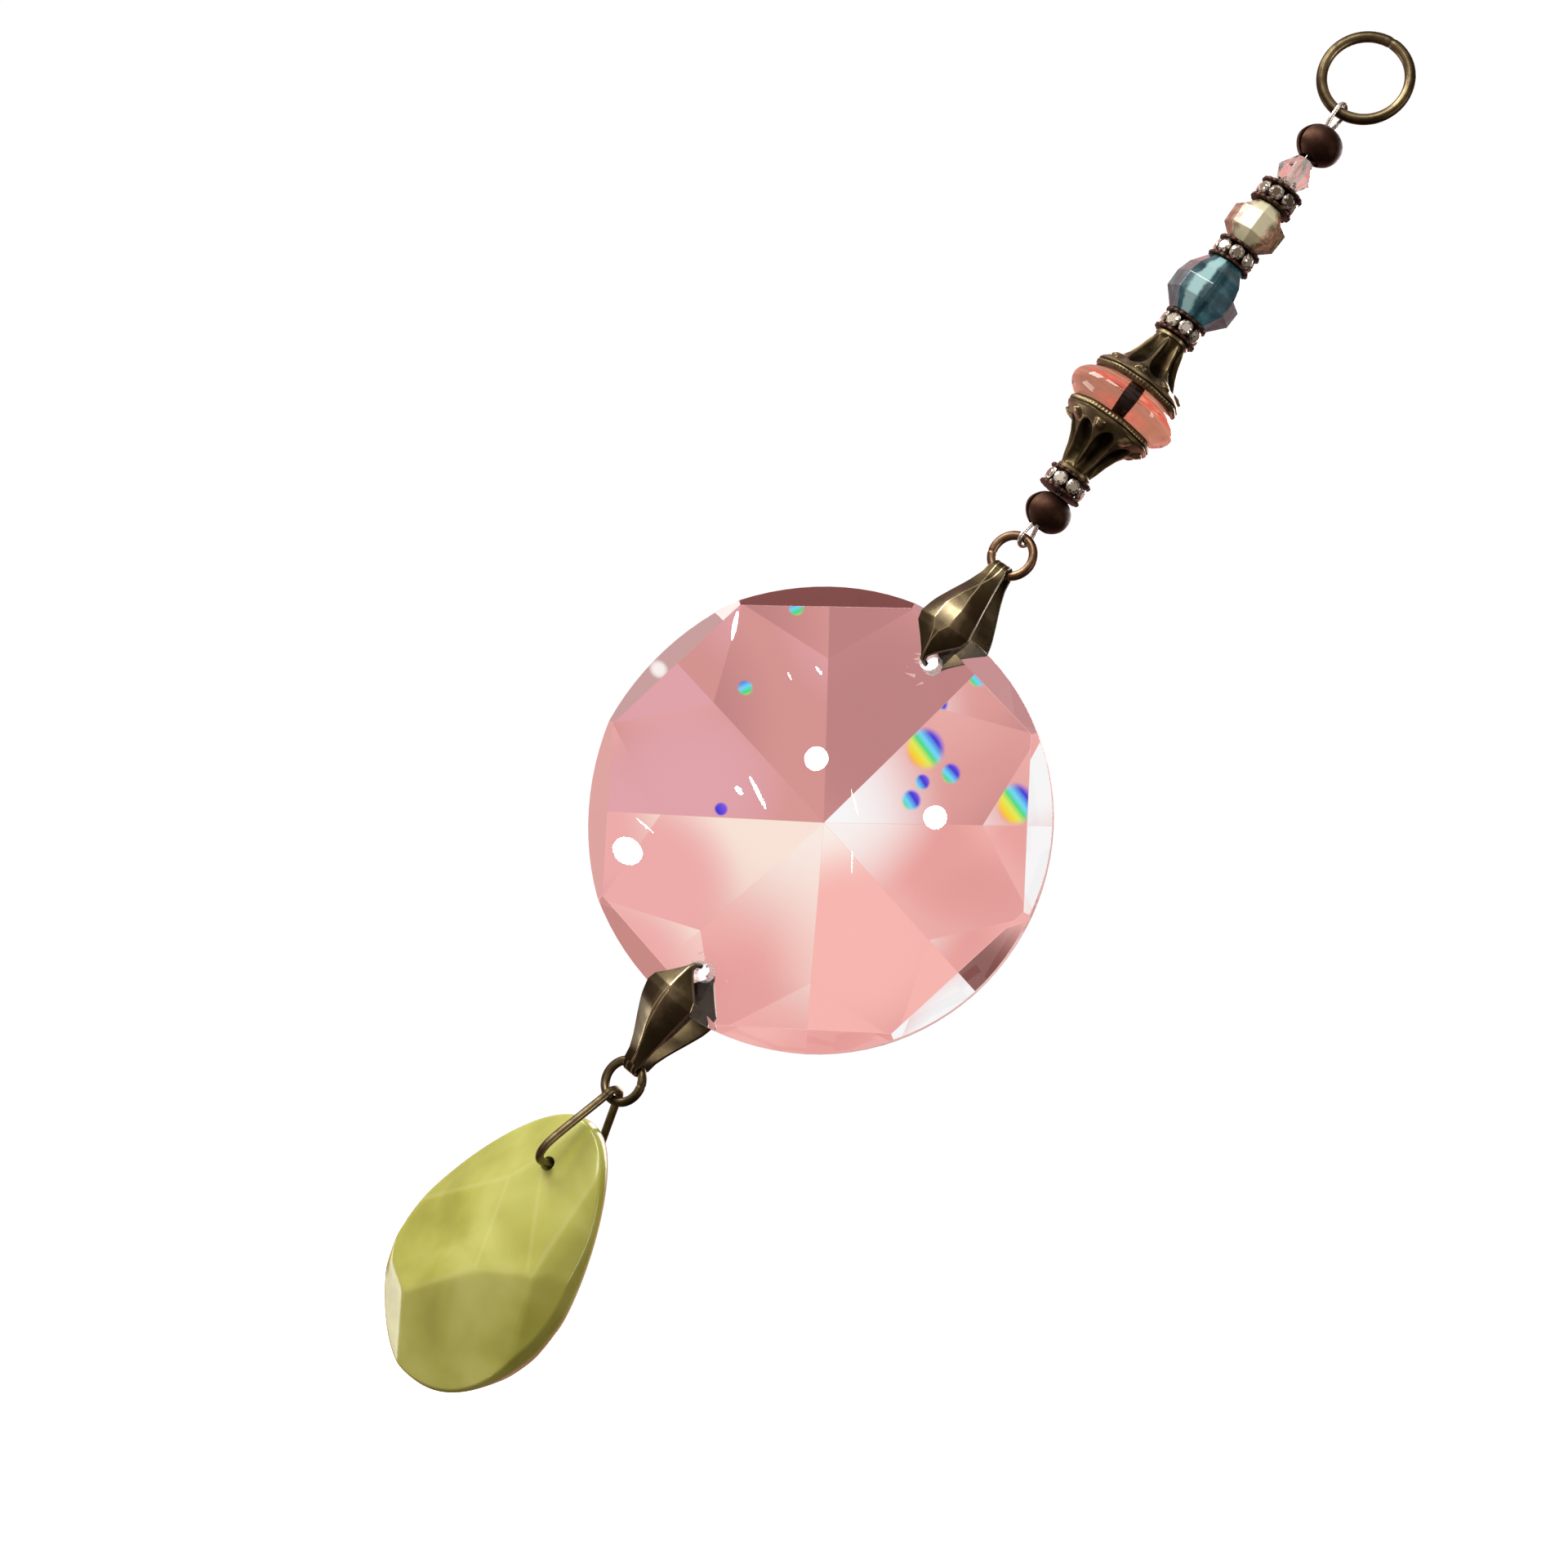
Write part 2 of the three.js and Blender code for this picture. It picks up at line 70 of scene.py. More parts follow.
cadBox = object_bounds()
rng = np.random.default_rng(7)


def corners(node):
    # the low and the high corner of a node's box
    return [np.array(corner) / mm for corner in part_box(node)]


def middle(node):
    low, high = corners(node)
    return (low + high) / 2


def height(node):
    low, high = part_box(node)
    return (high[2] - low[2]) / mm


def toLinear(colour, alpha=1.0):
    # each channel c of the sRGB hex becomes c/12.92 below 0.04045, else ((c+0.055)/1.055)^2.4
    channels = np.array([int(colour[i:i + 2], 16) for i in (1, 3, 5)]) / 255
    linear = np.where(channels < 0.04045, channels / 12.92, ((channels + 0.055) / 1.055) ** 2.4)
    return (*linear.tolist(), alpha)


def feed(tree, node, inputs):
    # each input, by its name or number, gets a value or a socket
    for key, value in inputs.items():
        if isinstance(value, bpy.types.NodeSocket):
            tree.links.new(value, node.inputs[key])
        else:
            node.inputs[key].default_value = value


def addNode(tree, kind, settings=None, out=0, **inputs):
    # one node, given back as the output asked for: settings are its own properties or a ramp's
    # stops, and inputs go by their names, or by i and a number
    node = tree.nodes.new("ShaderNode" + kind)
    for key, value in (settings or {}).items():
        if key != "stops":
            setattr(node, key, value)
            continue
        elements = node.color_ramp.elements
        while len(elements) < len(value):
            elements.new(1.0)
        for element, (place, colour) in zip(elements, value):
            element.position = place
            element.color = toLinear(colour)
    feed(tree, node, {int(k[1:]) if k[1:].isdigit() else k: v for k, v in inputs.items()})
    return node.outputs[out] if node.outputs else node


mixColour = {"data_type": "RGBA"}
dotProduct = {"operation": "DOT_PRODUCT"}


def newMaterial(name):
    material = bpy.data.materials.new(name)
    material.use_nodes = True
    tree = material.node_tree
    return material, tree, tree.nodes["Principled BSDF"]


def circle(count):
    # that many angles, evenly round a full turn
    return np.linspace(0, 2 * np.pi, count, endpoint=False)


def turned(radius, z, angle):
    # a profile turned about Z: each point is (radius cos angle, radius sin angle, z)
    return np.stack(np.broadcast_arrays(radius * np.cos(angle), radius * np.sin(angle), z), -1)


def turnZ(points, degrees):
    # turns points about Z by that many degrees
    a = math.radians(degrees)
    turn = np.array([[math.cos(a), -math.sin(a), 0], [math.sin(a), math.cos(a), 0], [0, 0, 1]])
    return points @ turn.T


def gridFaces(rows, columns, closeRows=False):
    # quads between neighbouring rows and columns of a grid of points stored row by row; the
    # columns run round and close
    i = np.arange(rows if closeRows else rows - 1)[:, None]
    j = np.arange(columns)[None, :]
    nextRow = (i + 1) % rows
    nextColumn = (j + 1) % columns
    quads = [i * columns + j, i * columns + nextColumn, nextRow * columns + nextColumn,
             nextRow * columns + j]
    return np.stack([np.broadcast_to(q, (i.size, j.size)) for q in quads], -1).reshape(-1, 4).tolist()


def tubeFaces(rows, columns):
    # the wall of a tube, then its two ends
    ends = [list(range(columns))[::-1], [(rows - 1) * columns + j for j in range(columns)]]
    return gridFaces(rows, columns) + ends


def newMesh(name, points, faces):
    # a mesh from points in millimetres
    mesh = bpy.data.meshes.new(name)
    mesh.from_pydata((np.asarray(points).reshape(-1, 3) * mm).tolist(), [], faces)
    return mesh


def newObject(name, data):
    made = bpy.data.objects.new(name, data)
    bpy.context.scene.collection.objects.link(made)
    return made


def smooth(mesh, sharp):
    # smooth all over but for edges that bend more than sharp degrees
    mesh.polygons.foreach_set("use_smooth", np.ones(len(mesh.polygons), dtype=bool))
    mesh.update()
    mesh.set_sharp_from_angle(angle=math.radians(sharp))


def addPiece(name, mesh, node):
    piece = newObject(name, mesh)
    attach(piece, "root")
    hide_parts(node)
    return piece


def newPiece(name, points, faces, material, slot, node, sharp=30, **values):
    # values are named floats, one for each point
    mesh = newMesh(name, points, faces)
    smooth(mesh, sharp)
    for key, value in values.items():
        layer = mesh.attributes.new(key, "FLOAT", "POINT")
        layer.data.foreach_set("value", np.asarray(value, dtype=np.float32).reshape(-1))
    mesh.materials.append(material)
    return addPiece(name, mesh, node)


def soften(piece, width, segments, angle=12):
    bevel = piece.modifiers.new("softened_edges", "BEVEL")
    bevel.width = width * mm
    bevel.segments = segments
    bevel.limit_method = "ANGLE"
    bevel.angle_limit = math.radians(angle)
    bevel.harden_normals = True


def sweep(flat, radius, sides, twist=None):
    # a round tube along a route of [y, z] points: circles of the radius stand square to it;
    # twist gives the circle's radius from the angle and the length along the route
    route = np.c_[np.zeros(len(flat)), flat]
    along = np.gradient(route, axis=0)
    along /= np.linalg.norm(along, axis=1)[:, None]
    up = np.cross(along, [1.0, 0.0, 0.0])
    up /= np.linalg.norm(up, axis=1)[:, None]
    side = np.cross(up, along)
    angle = circle(sides)
    far = np.r_[0, np.cumsum(np.linalg.norm(np.diff(route, axis=0), axis=1))]
    size = radius * (twist(angle[None, :], far[:, None]) if twist else np.ones((1, sides)))
    return (route[:, None] + size[..., None] * (np.cos(angle)[None, :, None] * side[:, None]
            + np.sin(angle)[None, :, None] * up[:, None]))


def smoothRoute(points, perSpan):
    # Catmull-Rom curve: on each span p = ((2b) + (c-a)t + (2a-5b+4c-d)t^2 + (3b-a-3c+d)t^3) / 2
    p = np.asarray(points, dtype=float)
    p = np.vstack([2 * p[0] - p[1], p, 2 * p[-1] - p[-2]])
    a, b, c, d = p[:-3, None], p[1:-2, None], p[2:-1, None], p[3:, None]
    t = np.linspace(0, 1, perSpan, endpoint=False)[None, :, None]
    spans = (2 * b + (c - a) * t + (2 * a - 5 * b + 4 * c - d) * t ** 2
             + (3 * b - a - 3 * c + d) * t ** 3) / 2
    return np.vstack([spans.reshape(-1, p.shape[1]), p[-2]])


def antiqueBronze(name, patina, bright, warm, grain, rough=0.36):
    # plated brass, blackened and rubbed back: dark brown in the hollows, olive-gold on the
    # high spots, with a satin gloss that is duller where the patina stays
    material, tree, bsdf = newMaterial(name)
    place = addNode(tree, "TexCoord", out="Object")
    cloud = addNode(tree, "TexNoise", Vector=place, Scale=1 / (grain * mm), Detail=5.0, Roughness=0.6)
    # each point's wear value: real wear and patina, and on the bails also painted highlight lines along
    # the edges
    wear = addNode(tree, "Attribute", {"attribute_name": "wear"}, "Fac")
    worn = addNode(tree, "Math", {"operation": "MULTIPLY_ADD"}, i0=cloud, i1=0.55, i2=wear)
    shade = addNode(tree, "MapRange", Value=worn, i1=0.2, i2=1.15)
    stops = [(0.0, patina), (0.5, warm), (1.0, bright)]
    fine = addNode(tree, "TexNoise", Vector=place, Scale=1 / (0.12 * mm), Detail=3.0)
    feed(tree, bsdf, {
        "Base Color": addNode(tree, "ValToRGB", {"stops": stops}, Fac=shade),
        "Roughness": addNode(tree, "MapRange", Value=shade, i3=rough + 0.14, i4=rough - 0.08),
        "Normal": addNode(tree, "Bump", Height=fine, Strength=0.18, Distance=0.02 * mm),
        "Metallic": 1.0})
    return material


def silverPlate():
    # silver-plated stringing wire: bright, a touch warm, with the strands' own grooves as shape
    material, tree, bsdf = newMaterial("silver_plated_wire")
    place = addNode(tree, "TexCoord", out="Object")
    cloud = addNode(tree, "TexNoise", Vector=place, Scale=1 / (0.8 * mm), Detail=3.0)
    colour = addNode(tree, "ValToRGB", {"stops": [(0.3, "#cfccc6"), (0.7, "#f3f1ed")]}, Fac=cloud)
    feed(tree, bsdf, {"Base Color": colour, "Metallic": 1.0, "Roughness": 0.22})
    return material


def cutGlass(name, tint, ior=1.52, rough=0.0):
    # cut and polished glass: clear, coloured right through, bright at the facet edges
    material, tree, bsdf = newMaterial(name)
    feed(tree, bsdf, {"Base Color": toLinear(tint), "Roughness": rough, "IOR": ior,
                      "Transmission Weight": 1.0})
    return material


def veiledGlass(name, tones, through, flakeSize, streak):
    # pressed glass with a fired metallic lustre: see-through, milky and flecked where the lustre
    # lies, with a painted highlight: a bright, less clear streak down the side that faces the camera
    material, tree, bsdf = newMaterial(name)
    place = addNode(tree, "TexCoord", out="Object")
    cloud = addNode(tree, "TexNoise", Vector=place, Scale=1 / (flakeSize * mm), Detail=4.0,
                    Roughness=0.65)
    body = addNode(tree, "ValToRGB", {"stops": tones}, Fac=cloud)
    at = addNode(tree, "SeparateXYZ", Vector=place).node.outputs
    # the painted highlight streak: a ragged band round the bead's side, centred at its set turn
    turn = addNode(tree, "Math", {"operation": "ARCTAN2"}, i0=at["Y"], i1=at["X"])
    off = addNode(tree, "Math", {"operation": "SUBTRACT"}, i0=turn, i1=math.radians(streak["at"]))
    far = addNode(tree, "Math", {"operation": "ABSOLUTE"}, i0=off)
    ragged = addNode(tree, "Math", {"operation": "MULTIPLY_ADD"}, i0=cloud,
                     i1=-math.radians(streak["ragged"]), i2=far)
    lit = addNode(tree, "MapRange", {"interpolation_type": "SMOOTHSTEP"}, Value=ragged, i1=0.0,
                  i2=math.radians(streak["half"]), i3=1.0, i4=0.0)
    feed(tree, bsdf, {
        "Base Color": addNode(tree, "Mix", mixColour, 2, i0=lit, i6=body,
                              i7=toLinear(streak["colour"])),
        "Transmission Weight": addNode(tree, "MapRange", Value=lit, i3=through, i4=through * 0.35),
        "Roughness": 0.06, "IOR": 1.52, "Coat Weight": 0.5})
    return material


def rhinestone():
    # foil-backed cut glass with painted reflections: every facet gets its own tone, white, straw, grey
    # or dark
    material, tree, bsdf = newMaterial("foiled_rhinestone")
    facetGlint = addNode(tree, "Attribute", {"attribute_name": "facet"}, "Fac")
    stops = [(0.0, "#4a4238"), (0.28, "#8f8672"), (0.5, "#d8d2bd"), (0.75, "#fbfaf6"), (1.0, "#ffffff")]
    feed(tree, bsdf, {"Base Color": addNode(tree, "ValToRGB", {"stops": stops}, Fac=facetGlint),
                      "Metallic": 0.75, "Roughness": 0.08, "Coat Weight": 1.0, "Coat Roughness": 0.02})
    return material


def oliveJade():
    # new jade, cut and tumbled: waxy, lit from within, yellow-green with paler clouds, and paler
    # again along the facet edges
    material, tree, bsdf = newMaterial("olive_new_jade")
    place = addNode(tree, "TexCoord", out="Object")
    cloud = addNode(tree, "TexNoise", Vector=place, Scale=1 / (9 * mm), Detail=3.0, Roughness=0.5,
                    Distortion=0.3)
    stops = [(0.3, "#9b9d42"), (0.5, "#afb354"), (0.7, "#c1c66e")]
    body = addNode(tree, "ValToRGB", {"stops": stops}, Fac=cloud)
    ridge = addNode(tree, "Attribute", {"attribute_name": "ridge"}, "Fac")
    share = addNode(tree, "Math", {"operation": "MULTIPLY"}, i0=ridge, i1=0.12)
    fine = addNode(tree, "TexNoise", Vector=place, Scale=1 / (0.7 * mm), Detail=3.0)
    feed(tree, bsdf, {
        "Base Color": addNode(tree, "Mix", mixColour, 2, i0=share, i6=body,
                              i7=toLinear("#e9e8b0")),
        "Roughness": addNode(tree, "MapRange", Value=fine, i3=0.16, i4=0.3),
        "IOR": 1.56, "Subsurface Weight": 0.25, "Subsurface Radius": (0.9, 1.0, 0.3),
        "Subsurface Scale": 2.0 * mm, "Coat Weight": 0.25})
    return material


bronze = antiqueBronze("antique_bronze", "#171008", "#988a6a", "#463c29", grain=1.4)
leafBronze = antiqueBronze("pressed_antique_bronze", "#171008", "#bcae8c", "#4d432f", grain=2.6,
                           rough=0.31)
copperBronze = antiqueBronze("warm_antique_bronze", "#20120b", "#a58a6c", "#5f4737", grain=1.2)
darkBronze = antiqueBronze("oxidised_bronze", "#2a1a14", "#7a6053", "#4c362c", grain=0.6, rough=0.5)
silver = silverPlate()
clearGlass = cutGlass("clear_pressed_glass", "#fbf9f6")
crystalGlass = cutGlass("cut_lead_crystal", "#fdfcfd")
frostedGlass = cutGlass("drilled_ground_glass", "#fdf9f7", rough=0.45)
pinkGlass = cutGlass("rose_pressed_glass", "#f5a68b", ior=1.5)
# each also gets a painted highlight streak: its turn, half width and raggedness in degrees, and colour
champagneGlass = veiledGlass(
    "champagne_lustre_glass", [(0.34, "#7d5f49"), (0.52, "#a88f73"), (0.66, "#d9ceaa")],
    0.6, 0.8, {"at": -86, "half": 26, "ragged": 46, "colour": "#f1f3d0"})
blueGlass = veiledGlass(
    "aqua_lustre_glass", [(0.34, "#1f5260"), (0.52, "#3a7685"), (0.66, "#62a4b0")],
    0.72, 1.4, {"at": -99, "half": 7, "ragged": 16, "colour": "#aadade"})
stoneFoil = rhinestone()
jade = oliveJade()
print("finishes ready")


rings = {
    "around": 120, "section": 20, "jointDepth": 0.12, "jointWidth": 0.035,
    "hang": {"bore": 8.0, "wire": 1.2, "turn": 0, "jointAt": 90},
    "upper": {"bore": 3.6, "wire": 1.0, "turn": -12, "jointAt": 200},
    "lower": {"bore": 3.6, "wire": 1.0, "turn": -22, "jointAt": 20},
}


def wireRing(name, node, size, material):
    # a torus: the wire's circle goes round the ring's; at the joint its radius dips to a groove
    u, v = circle(rings["around"])[:, None], circle(rings["section"])[None, :]
    apart = np.angle(np.exp(1j * (u - math.radians(size["jointAt"]))))
    dip = 1 - rings["jointDepth"] * np.exp(-(apart / rings["jointWidth"]) ** 2)
    r = size["wire"] / 2 * dip
    reach = (size["bore"] + size["wire"]) / 2 + r * np.cos(v)
    flat = np.stack([reach * np.cos(u), r * np.sin(v) + 0 * u, reach * np.sin(u)], -1)
    wear = 0.35 + 0.3 * np.sin(v + 0.6) ** 2 * np.ones_like(u)
    points = turnZ(flat, size["turn"]) + middle(node)
    faces = gridFaces(rings["around"], rings["section"], closeRows=True)
    newPiece(name, points, faces, material, "antique_bronze", node, wear=wear)


wireRing("hanging_loop", "hanging_ring", rings["hang"], bronze)
wireRing("jump_ring_upper", "bail_ring_upper", rings["upper"], copperBronze)
wireRing("jump_ring_lower", "bail_ring_lower", rings["lower"], bronze)
print("rings made")


thread = {
    "size": 0.5, "clearance": 0.1, "bow": 0.95, "neck": 0.42, "tail": 0.7, "turn": -22, "sides": 24,
    "strands": 6, "lay": 1.6, "groove": 0.1,
    # beyond a crimp cover's middle and its end, and how far the strand leans inside it
    "mouth": -0.4, "spread": 1.0, "shoulder": 0.92, "lean": 0.25,
}


def bow(halfWidth, wireZ, crestZ, steps=14):
    # half an oval from one side round its crest to the other, as [y, z]
    t = np.linspace(0, np.pi, steps)
    return np.stack([halfWidth * np.cos(t), wireZ + (crestZ - wireZ) * np.sin(t)], -1)


def lobes(angle, far):
    # the wire's section: one lobe for each outer strand, turning once in each lay
    turns = angle + 2 * np.pi * far / thread["lay"]
    return 1 - thread["groove"] * (1 - np.abs(np.cos(thread["strands"] / 2 * turns)))


def stringingWire():
    # a tube along the string: a bow round a ring at each end, two strands side by side in each
    # crimp cover, one strand through the beads
    top, low = middle("crimp_cover_upper")[2], middle("crimp_cover_lower")[2]
    half = height("crimp_cover_upper") / 2
    hang, joint = rings["hang"], rings["upper"]
    reach = thread["size"] / 2 + thread["clearance"]
    hangWire = middle("hanging_ring")[2] - (hang["bore"] + hang["wire"]) / 2
    ringWire = middle("bail_ring_upper")[2] + (joint["bore"] + joint["wire"]) / 2
    neck, wide, lean = thread["neck"], thread["bow"] * thread["shoulder"], thread["lean"]
    up, out = half + thread["mouth"], half + thread["spread"]
    flat = np.vstack([
        [[neck - 0.05, top - thread["tail"]], [neck, top + up], [wide, top + out]],
        bow(thread["bow"], hangWire, hangWire + hang["wire"] / 2 + reach),
        [[-wide, top + out], [-neck, top + up], [-lean, top], [0, top - half],
         [0, middle("blue_bead")[2]], [0, middle("pink_bead")[2]], [0, low + half],
         [-lean, low], [-neck, low - up], [-wide, low - out]],
        bow(thread["bow"], ringWire, ringWire - joint["wire"] / 2 - reach)[::-1],
        [[wide, low - out], [neck, low - up], [neck - 0.05, low + thread["tail"]]],
    ])
    tube = sweep(smoothRoute(flat, 24), thread["size"] / 2, thread["sides"], lobes)
    newPiece("silver_thread", turnZ(tube, thread["turn"]), tubeFaces(*tube.shape[:2]), silver,
             "silver_wire", "stringing_wire")


stringingWire()


crimp = {"width": 5.2, "height": 4.3, "wall": 0.45, "mouth": 1.2, "seam": 0.6, "turn": 218,
         "dent": 0.03, "aside": [0.28, 0.22], "around": 96, "profile": 28}


def crimpCover(name, node):
    # an open shell: an oval wall profile turned from one side of the seam to the other, its two
    # lips closed by the profile; shallow waves are the pliers' dents
    rx, rz, wall = crimp["width"] / 2, crimp["height"] / 2, crimp["wall"]
    outerEnd = math.acos(crimp["mouth"] / rx)
    innerEnd = math.acos(crimp["mouth"] / (rx - wall))
    t = np.linspace(-1, 1, crimp["profile"])
    outer = np.stack([rx * np.cos(t * outerEnd), rz * np.sin(t * outerEnd)], -1)
    inner = np.stack([(rx - wall) * np.cos(t * innerEnd), (rz - wall) * np.sin(t * innerEnd)], -1)
    r, z = np.vstack([outer, inner[::-1]]).T[:, None]
    gap = crimp["seam"] / crimp["width"]
    angle = np.linspace(gap, 2 * np.pi - gap, crimp["around"])[:, None]
    dents = 1 - crimp["dent"] * (0.5 + 0.5 * np.sin(3 * angle + 4 * z / rz))
    points = turnZ(turned(r * dents, z, angle), crimp["turn"]) + [*crimp["aside"], middle(node)[2]]
    faces = [f[::-1] for f in tubeFaces(crimp["around"], r.size)]
    wear = 0.25 + 0.15 * np.cos(2 * angle) + 0 * r
    newPiece(name, points, faces, darkBronze, "dark_bronze", node, sharp=40, wear=wear)


crimpCover("crimp_shell_upper", "crimp_cover_upper")
crimpCover("crimp_shell_lower", "crimp_cover_lower")
print("wire and crimp covers made")


beadBore = 0.6
beads = {
    # rows: [share of the half height, share of the half width, part of a step it is turned]
    "clear": {"width": 4.2, "height": 3.8, "turn": 0,
              "rows": [[-1, 0.5, 0], [0, 1, 0.5], [1, 0.5, 0]]},
    "champagne": {"width": 6.4, "height": 5.0, "turn": 52,
                  "rows": [[-1, 0.52, 0], [-0.5, 0.98, 0], [0.42, 1, 0], [1, 0.56, 0]]},
    "blue": {"width": 8.0, "height": 7.0, "turn": 12,
             "rows": [[-1, 0.6, 0], [-0.5, 0.99, 0], [0.05, 1, 0], [0.5, 0.88, 0], [1, 0.56, 0]]},
    "sides": 8, "edge": 0.07,
}


def cutBead(kind, material):
    # rings of corners up the bead, each on a circle; a ring half a step on from the last makes
    # triangles between them, and level rings make long facets; the bore closes the skin
    size, sides, node = beads[kind], beads["sides"], f"{kind}_bead"
    low, high = size["rows"][0], size["rows"][-1]
    boreShare = beadBore * 2 / size["width"]
    rows = np.array([[low[0], boreShare, low[2]], *size["rows"], [high[0], boreShare, high[2]]])
    angle = (np.arange(sides)[None, :] + rows[:, 2:3]) / sides * 2 * np.pi
    points = turned(rows[:, 1:2] * size["width"] / 2, rows[:, :1] * size["height"] / 2, angle)
    faces = []
    for i, (a, b, c, d) in enumerate(gridFaces(len(rows), sides, closeRows=True)):
        row = i // sides
        step = rows[(row + 1) % len(rows), 2] - rows[row, 2]
        if step == 0:
            faces.append([a, b, c, d])
        elif step > 0:
            faces += [[a, b, d], [b, c, d]]
        else:
            faces += [[a, b, c], [a, c, d]]
    placed = turnZ(points.reshape(-1, 3), size["turn"]) + [0, 0, middle(node)[2]]
    piece = newPiece(f"{kind}_cut_bead", placed, faces, material, f"{kind}_glass", node, sharp=5)
    soften(piece, beads["edge"], 2)


cutBead("clear", clearGlass)
cutBead("champagne", champagneGlass)
cutBead("blue", blueGlass)

saucer = {"width": 12.8, "height": 5.5, "open": 0.3, "profile": 56, "around": 128}


def saucerBead():
    # an ellipse turned about Z, from the bore's lower lip out round the rim and back, and closed
    # along the bore
    end = math.acos(saucer["open"])
    t = np.linspace(-end, end, saucer["profile"])
    r = np.r_[beadBore, saucer["width"] / 2 * np.cos(t), beadBore]
    z = saucer["height"] / 2 * np.sin(np.r_[t[0], t, t[-1]])
    points = turned(r[:, None], z[:, None], circle(saucer["around"]))
    faces = gridFaces(len(r), saucer["around"], closeRows=True)
    piece = newPiece("pink_saucer_bead", points + [0, 0, middle("pink_bead")[2]], faces, pinkGlass,
                     "pink_glass", "pink_bead", sharp=35)
    # the bore takes the dark bronze finish, a painted shade for the dark core seen through the bead
    piece.data.materials.append(darkBronze)
    inBore = np.arange(len(faces)) // saucer["around"] == len(r) - 1
    piece.data.polygons.foreach_set("material_index", inBore.astype(np.int32))


saucerBead()
print("glass beads made")


cap = {
    "length": 7.1, "petals": 8, "perPetal": 32, "rows": 90,
    # heights, places and widths below are along the cap from its narrow end
    "flute": 0.62, "fluteWidth": 0.84, "fluteFrom": 0.55, "fluteRamp": 1.5,
    "archStart": 3.4, "archTop": 5.2,
    "knob": 0.62, "knobAt": 5.3, "knobLength": 0.36, "knobWidth": 0.3,
    "scallop": 0.1, "rimFrom": 5.7, "rimRamp": 0.4,
    "groove": 0.16, "grooveAt": 6.35, "grooveWidth": 0.07,
    "beads": 0.06, "beadCount": 72, "beadsAt": 6.72, "beadsWidth": 0.16,
    # [along the cap, radius]
    "outer": [[0.0, 1.95], [0.35, 1.98], [0.5, 1.82], [1.4, 2.15], [2.6, 2.5], [3.8, 3.0],
              [4.7, 3.55], [5.3, 4.1], [5.75, 4.75], [5.95, 5.05], [6.2, 5.2], [6.6, 5.2],
              [6.85, 5.12], [7.1, 4.95]],
    "inner": [[7.1, 4.72], [6.6, 4.2], [6.2, 3.6], [6.05, 3.4], [6.05, 0.6], [0.0, 0.6]],
}


def beadCap(name, node, flip):
    # a lathe profile whose outside radius falls away in arch-topped flutes between ribs, swells
    # into a knob at the head of each rib, and waves a little round the grooved rim
    outer, inner = np.array(cap["outer"]), np.array(cap["inner"])
    dense = np.unique(np.r_[np.linspace(0, cap["length"], cap["rows"]), outer[:, 0]])
    a = np.r_[dense, inner[:, 0]][:, None]
    r = np.r_[np.interp(dense, outer[:, 0], outer[:, 1]), inner[:, 1]][:, None]
    outside = (np.arange(len(a)) < len(dense))[:, None]
    theta = circle(cap["petals"] * cap["perPetal"])[None, :]
    across = np.abs((theta * cap["petals"] / (2 * np.pi)) % 1 - 0.5) * 2
    rise = np.clip((a - cap["archStart"]) / (cap["archTop"] - cap["archStart"]), 0, 1)
    halfWidth = cap["fluteWidth"] * np.sqrt(1 - rise ** 2) + 1e-3
    depth = cap["flute"] * np.clip((a - cap["fluteFrom"]) / cap["fluteRamp"], 0, 1) ** 0.5
    flute = depth * np.sqrt(np.clip(1 - (across / halfWidth) ** 2, 0, 1)) * (rise < 1)
    knob = cap["knob"] * np.exp(-((a - cap["knobAt"]) / cap["knobLength"]) ** 4
                                - ((1 - across) / cap["knobWidth"]) ** 4)
    rim = np.clip((a - cap["rimFrom"]) / cap["rimRamp"], 0, 1)
    wave = cap["scallop"] * np.cos(cap["petals"] * theta) * rim
    groove = cap["groove"] * np.exp(-((a - cap["grooveAt"]) / cap["grooveWidth"]) ** 2)
    beading = (cap["beads"] * np.cos(cap["beadCount"] * theta)
               * np.exp(-((a - cap["beadsAt"]) / cap["beadsWidth"]) ** 2))
    radius = r + outside * (knob - flute - wave - groove + beading - cap["scallop"] * rim)
    # most worn on the knobs and the beading, least in the flutes, the groove and inside
    wear = outside * (0.58 - flute / cap["flute"] * (0.6 + 0.4 * rise) - 3 * groove + 0.5 * knob
                      + 4 * beading + 0.1 * rim) + (1 - outside) * 0.05
    local = turned(radius, a, theta)
    low, high = corners(node)
    if flip:
        local = local * [1, -1, -1] + [0, 0, high[2]]
    else:
        local = local + [0, 0, low[2]]
    newPiece(name, local, gridFaces(len(a), theta.size, closeRows=True), bronze,
             "antique_bronze", node, sharp=50, wear=wear)


beadCap("fluted_cap_upper", "bead_cap_upper", True)
beadCap("fluted_cap_lower", "bead_cap_lower", False)
print("bead caps made")


rondelle = {"width": 5.0, "height": 2.4, "flange": 0.34, "core": 1.3, "stones": 8, "soft": 0.07,
            "teeth": 18, "perTooth": 8, "tooth": 0.14, "clockStep": 7}
stoneCut = {"sides": 16, "girdle": 0.84, "table": 0.44, "star": 0.66, "starAt": 0.72, "crown": 0.3,
            "belt": 0.12, "beltAt": 0.4, "pavilion": 0.5, "wobble": 0.06}


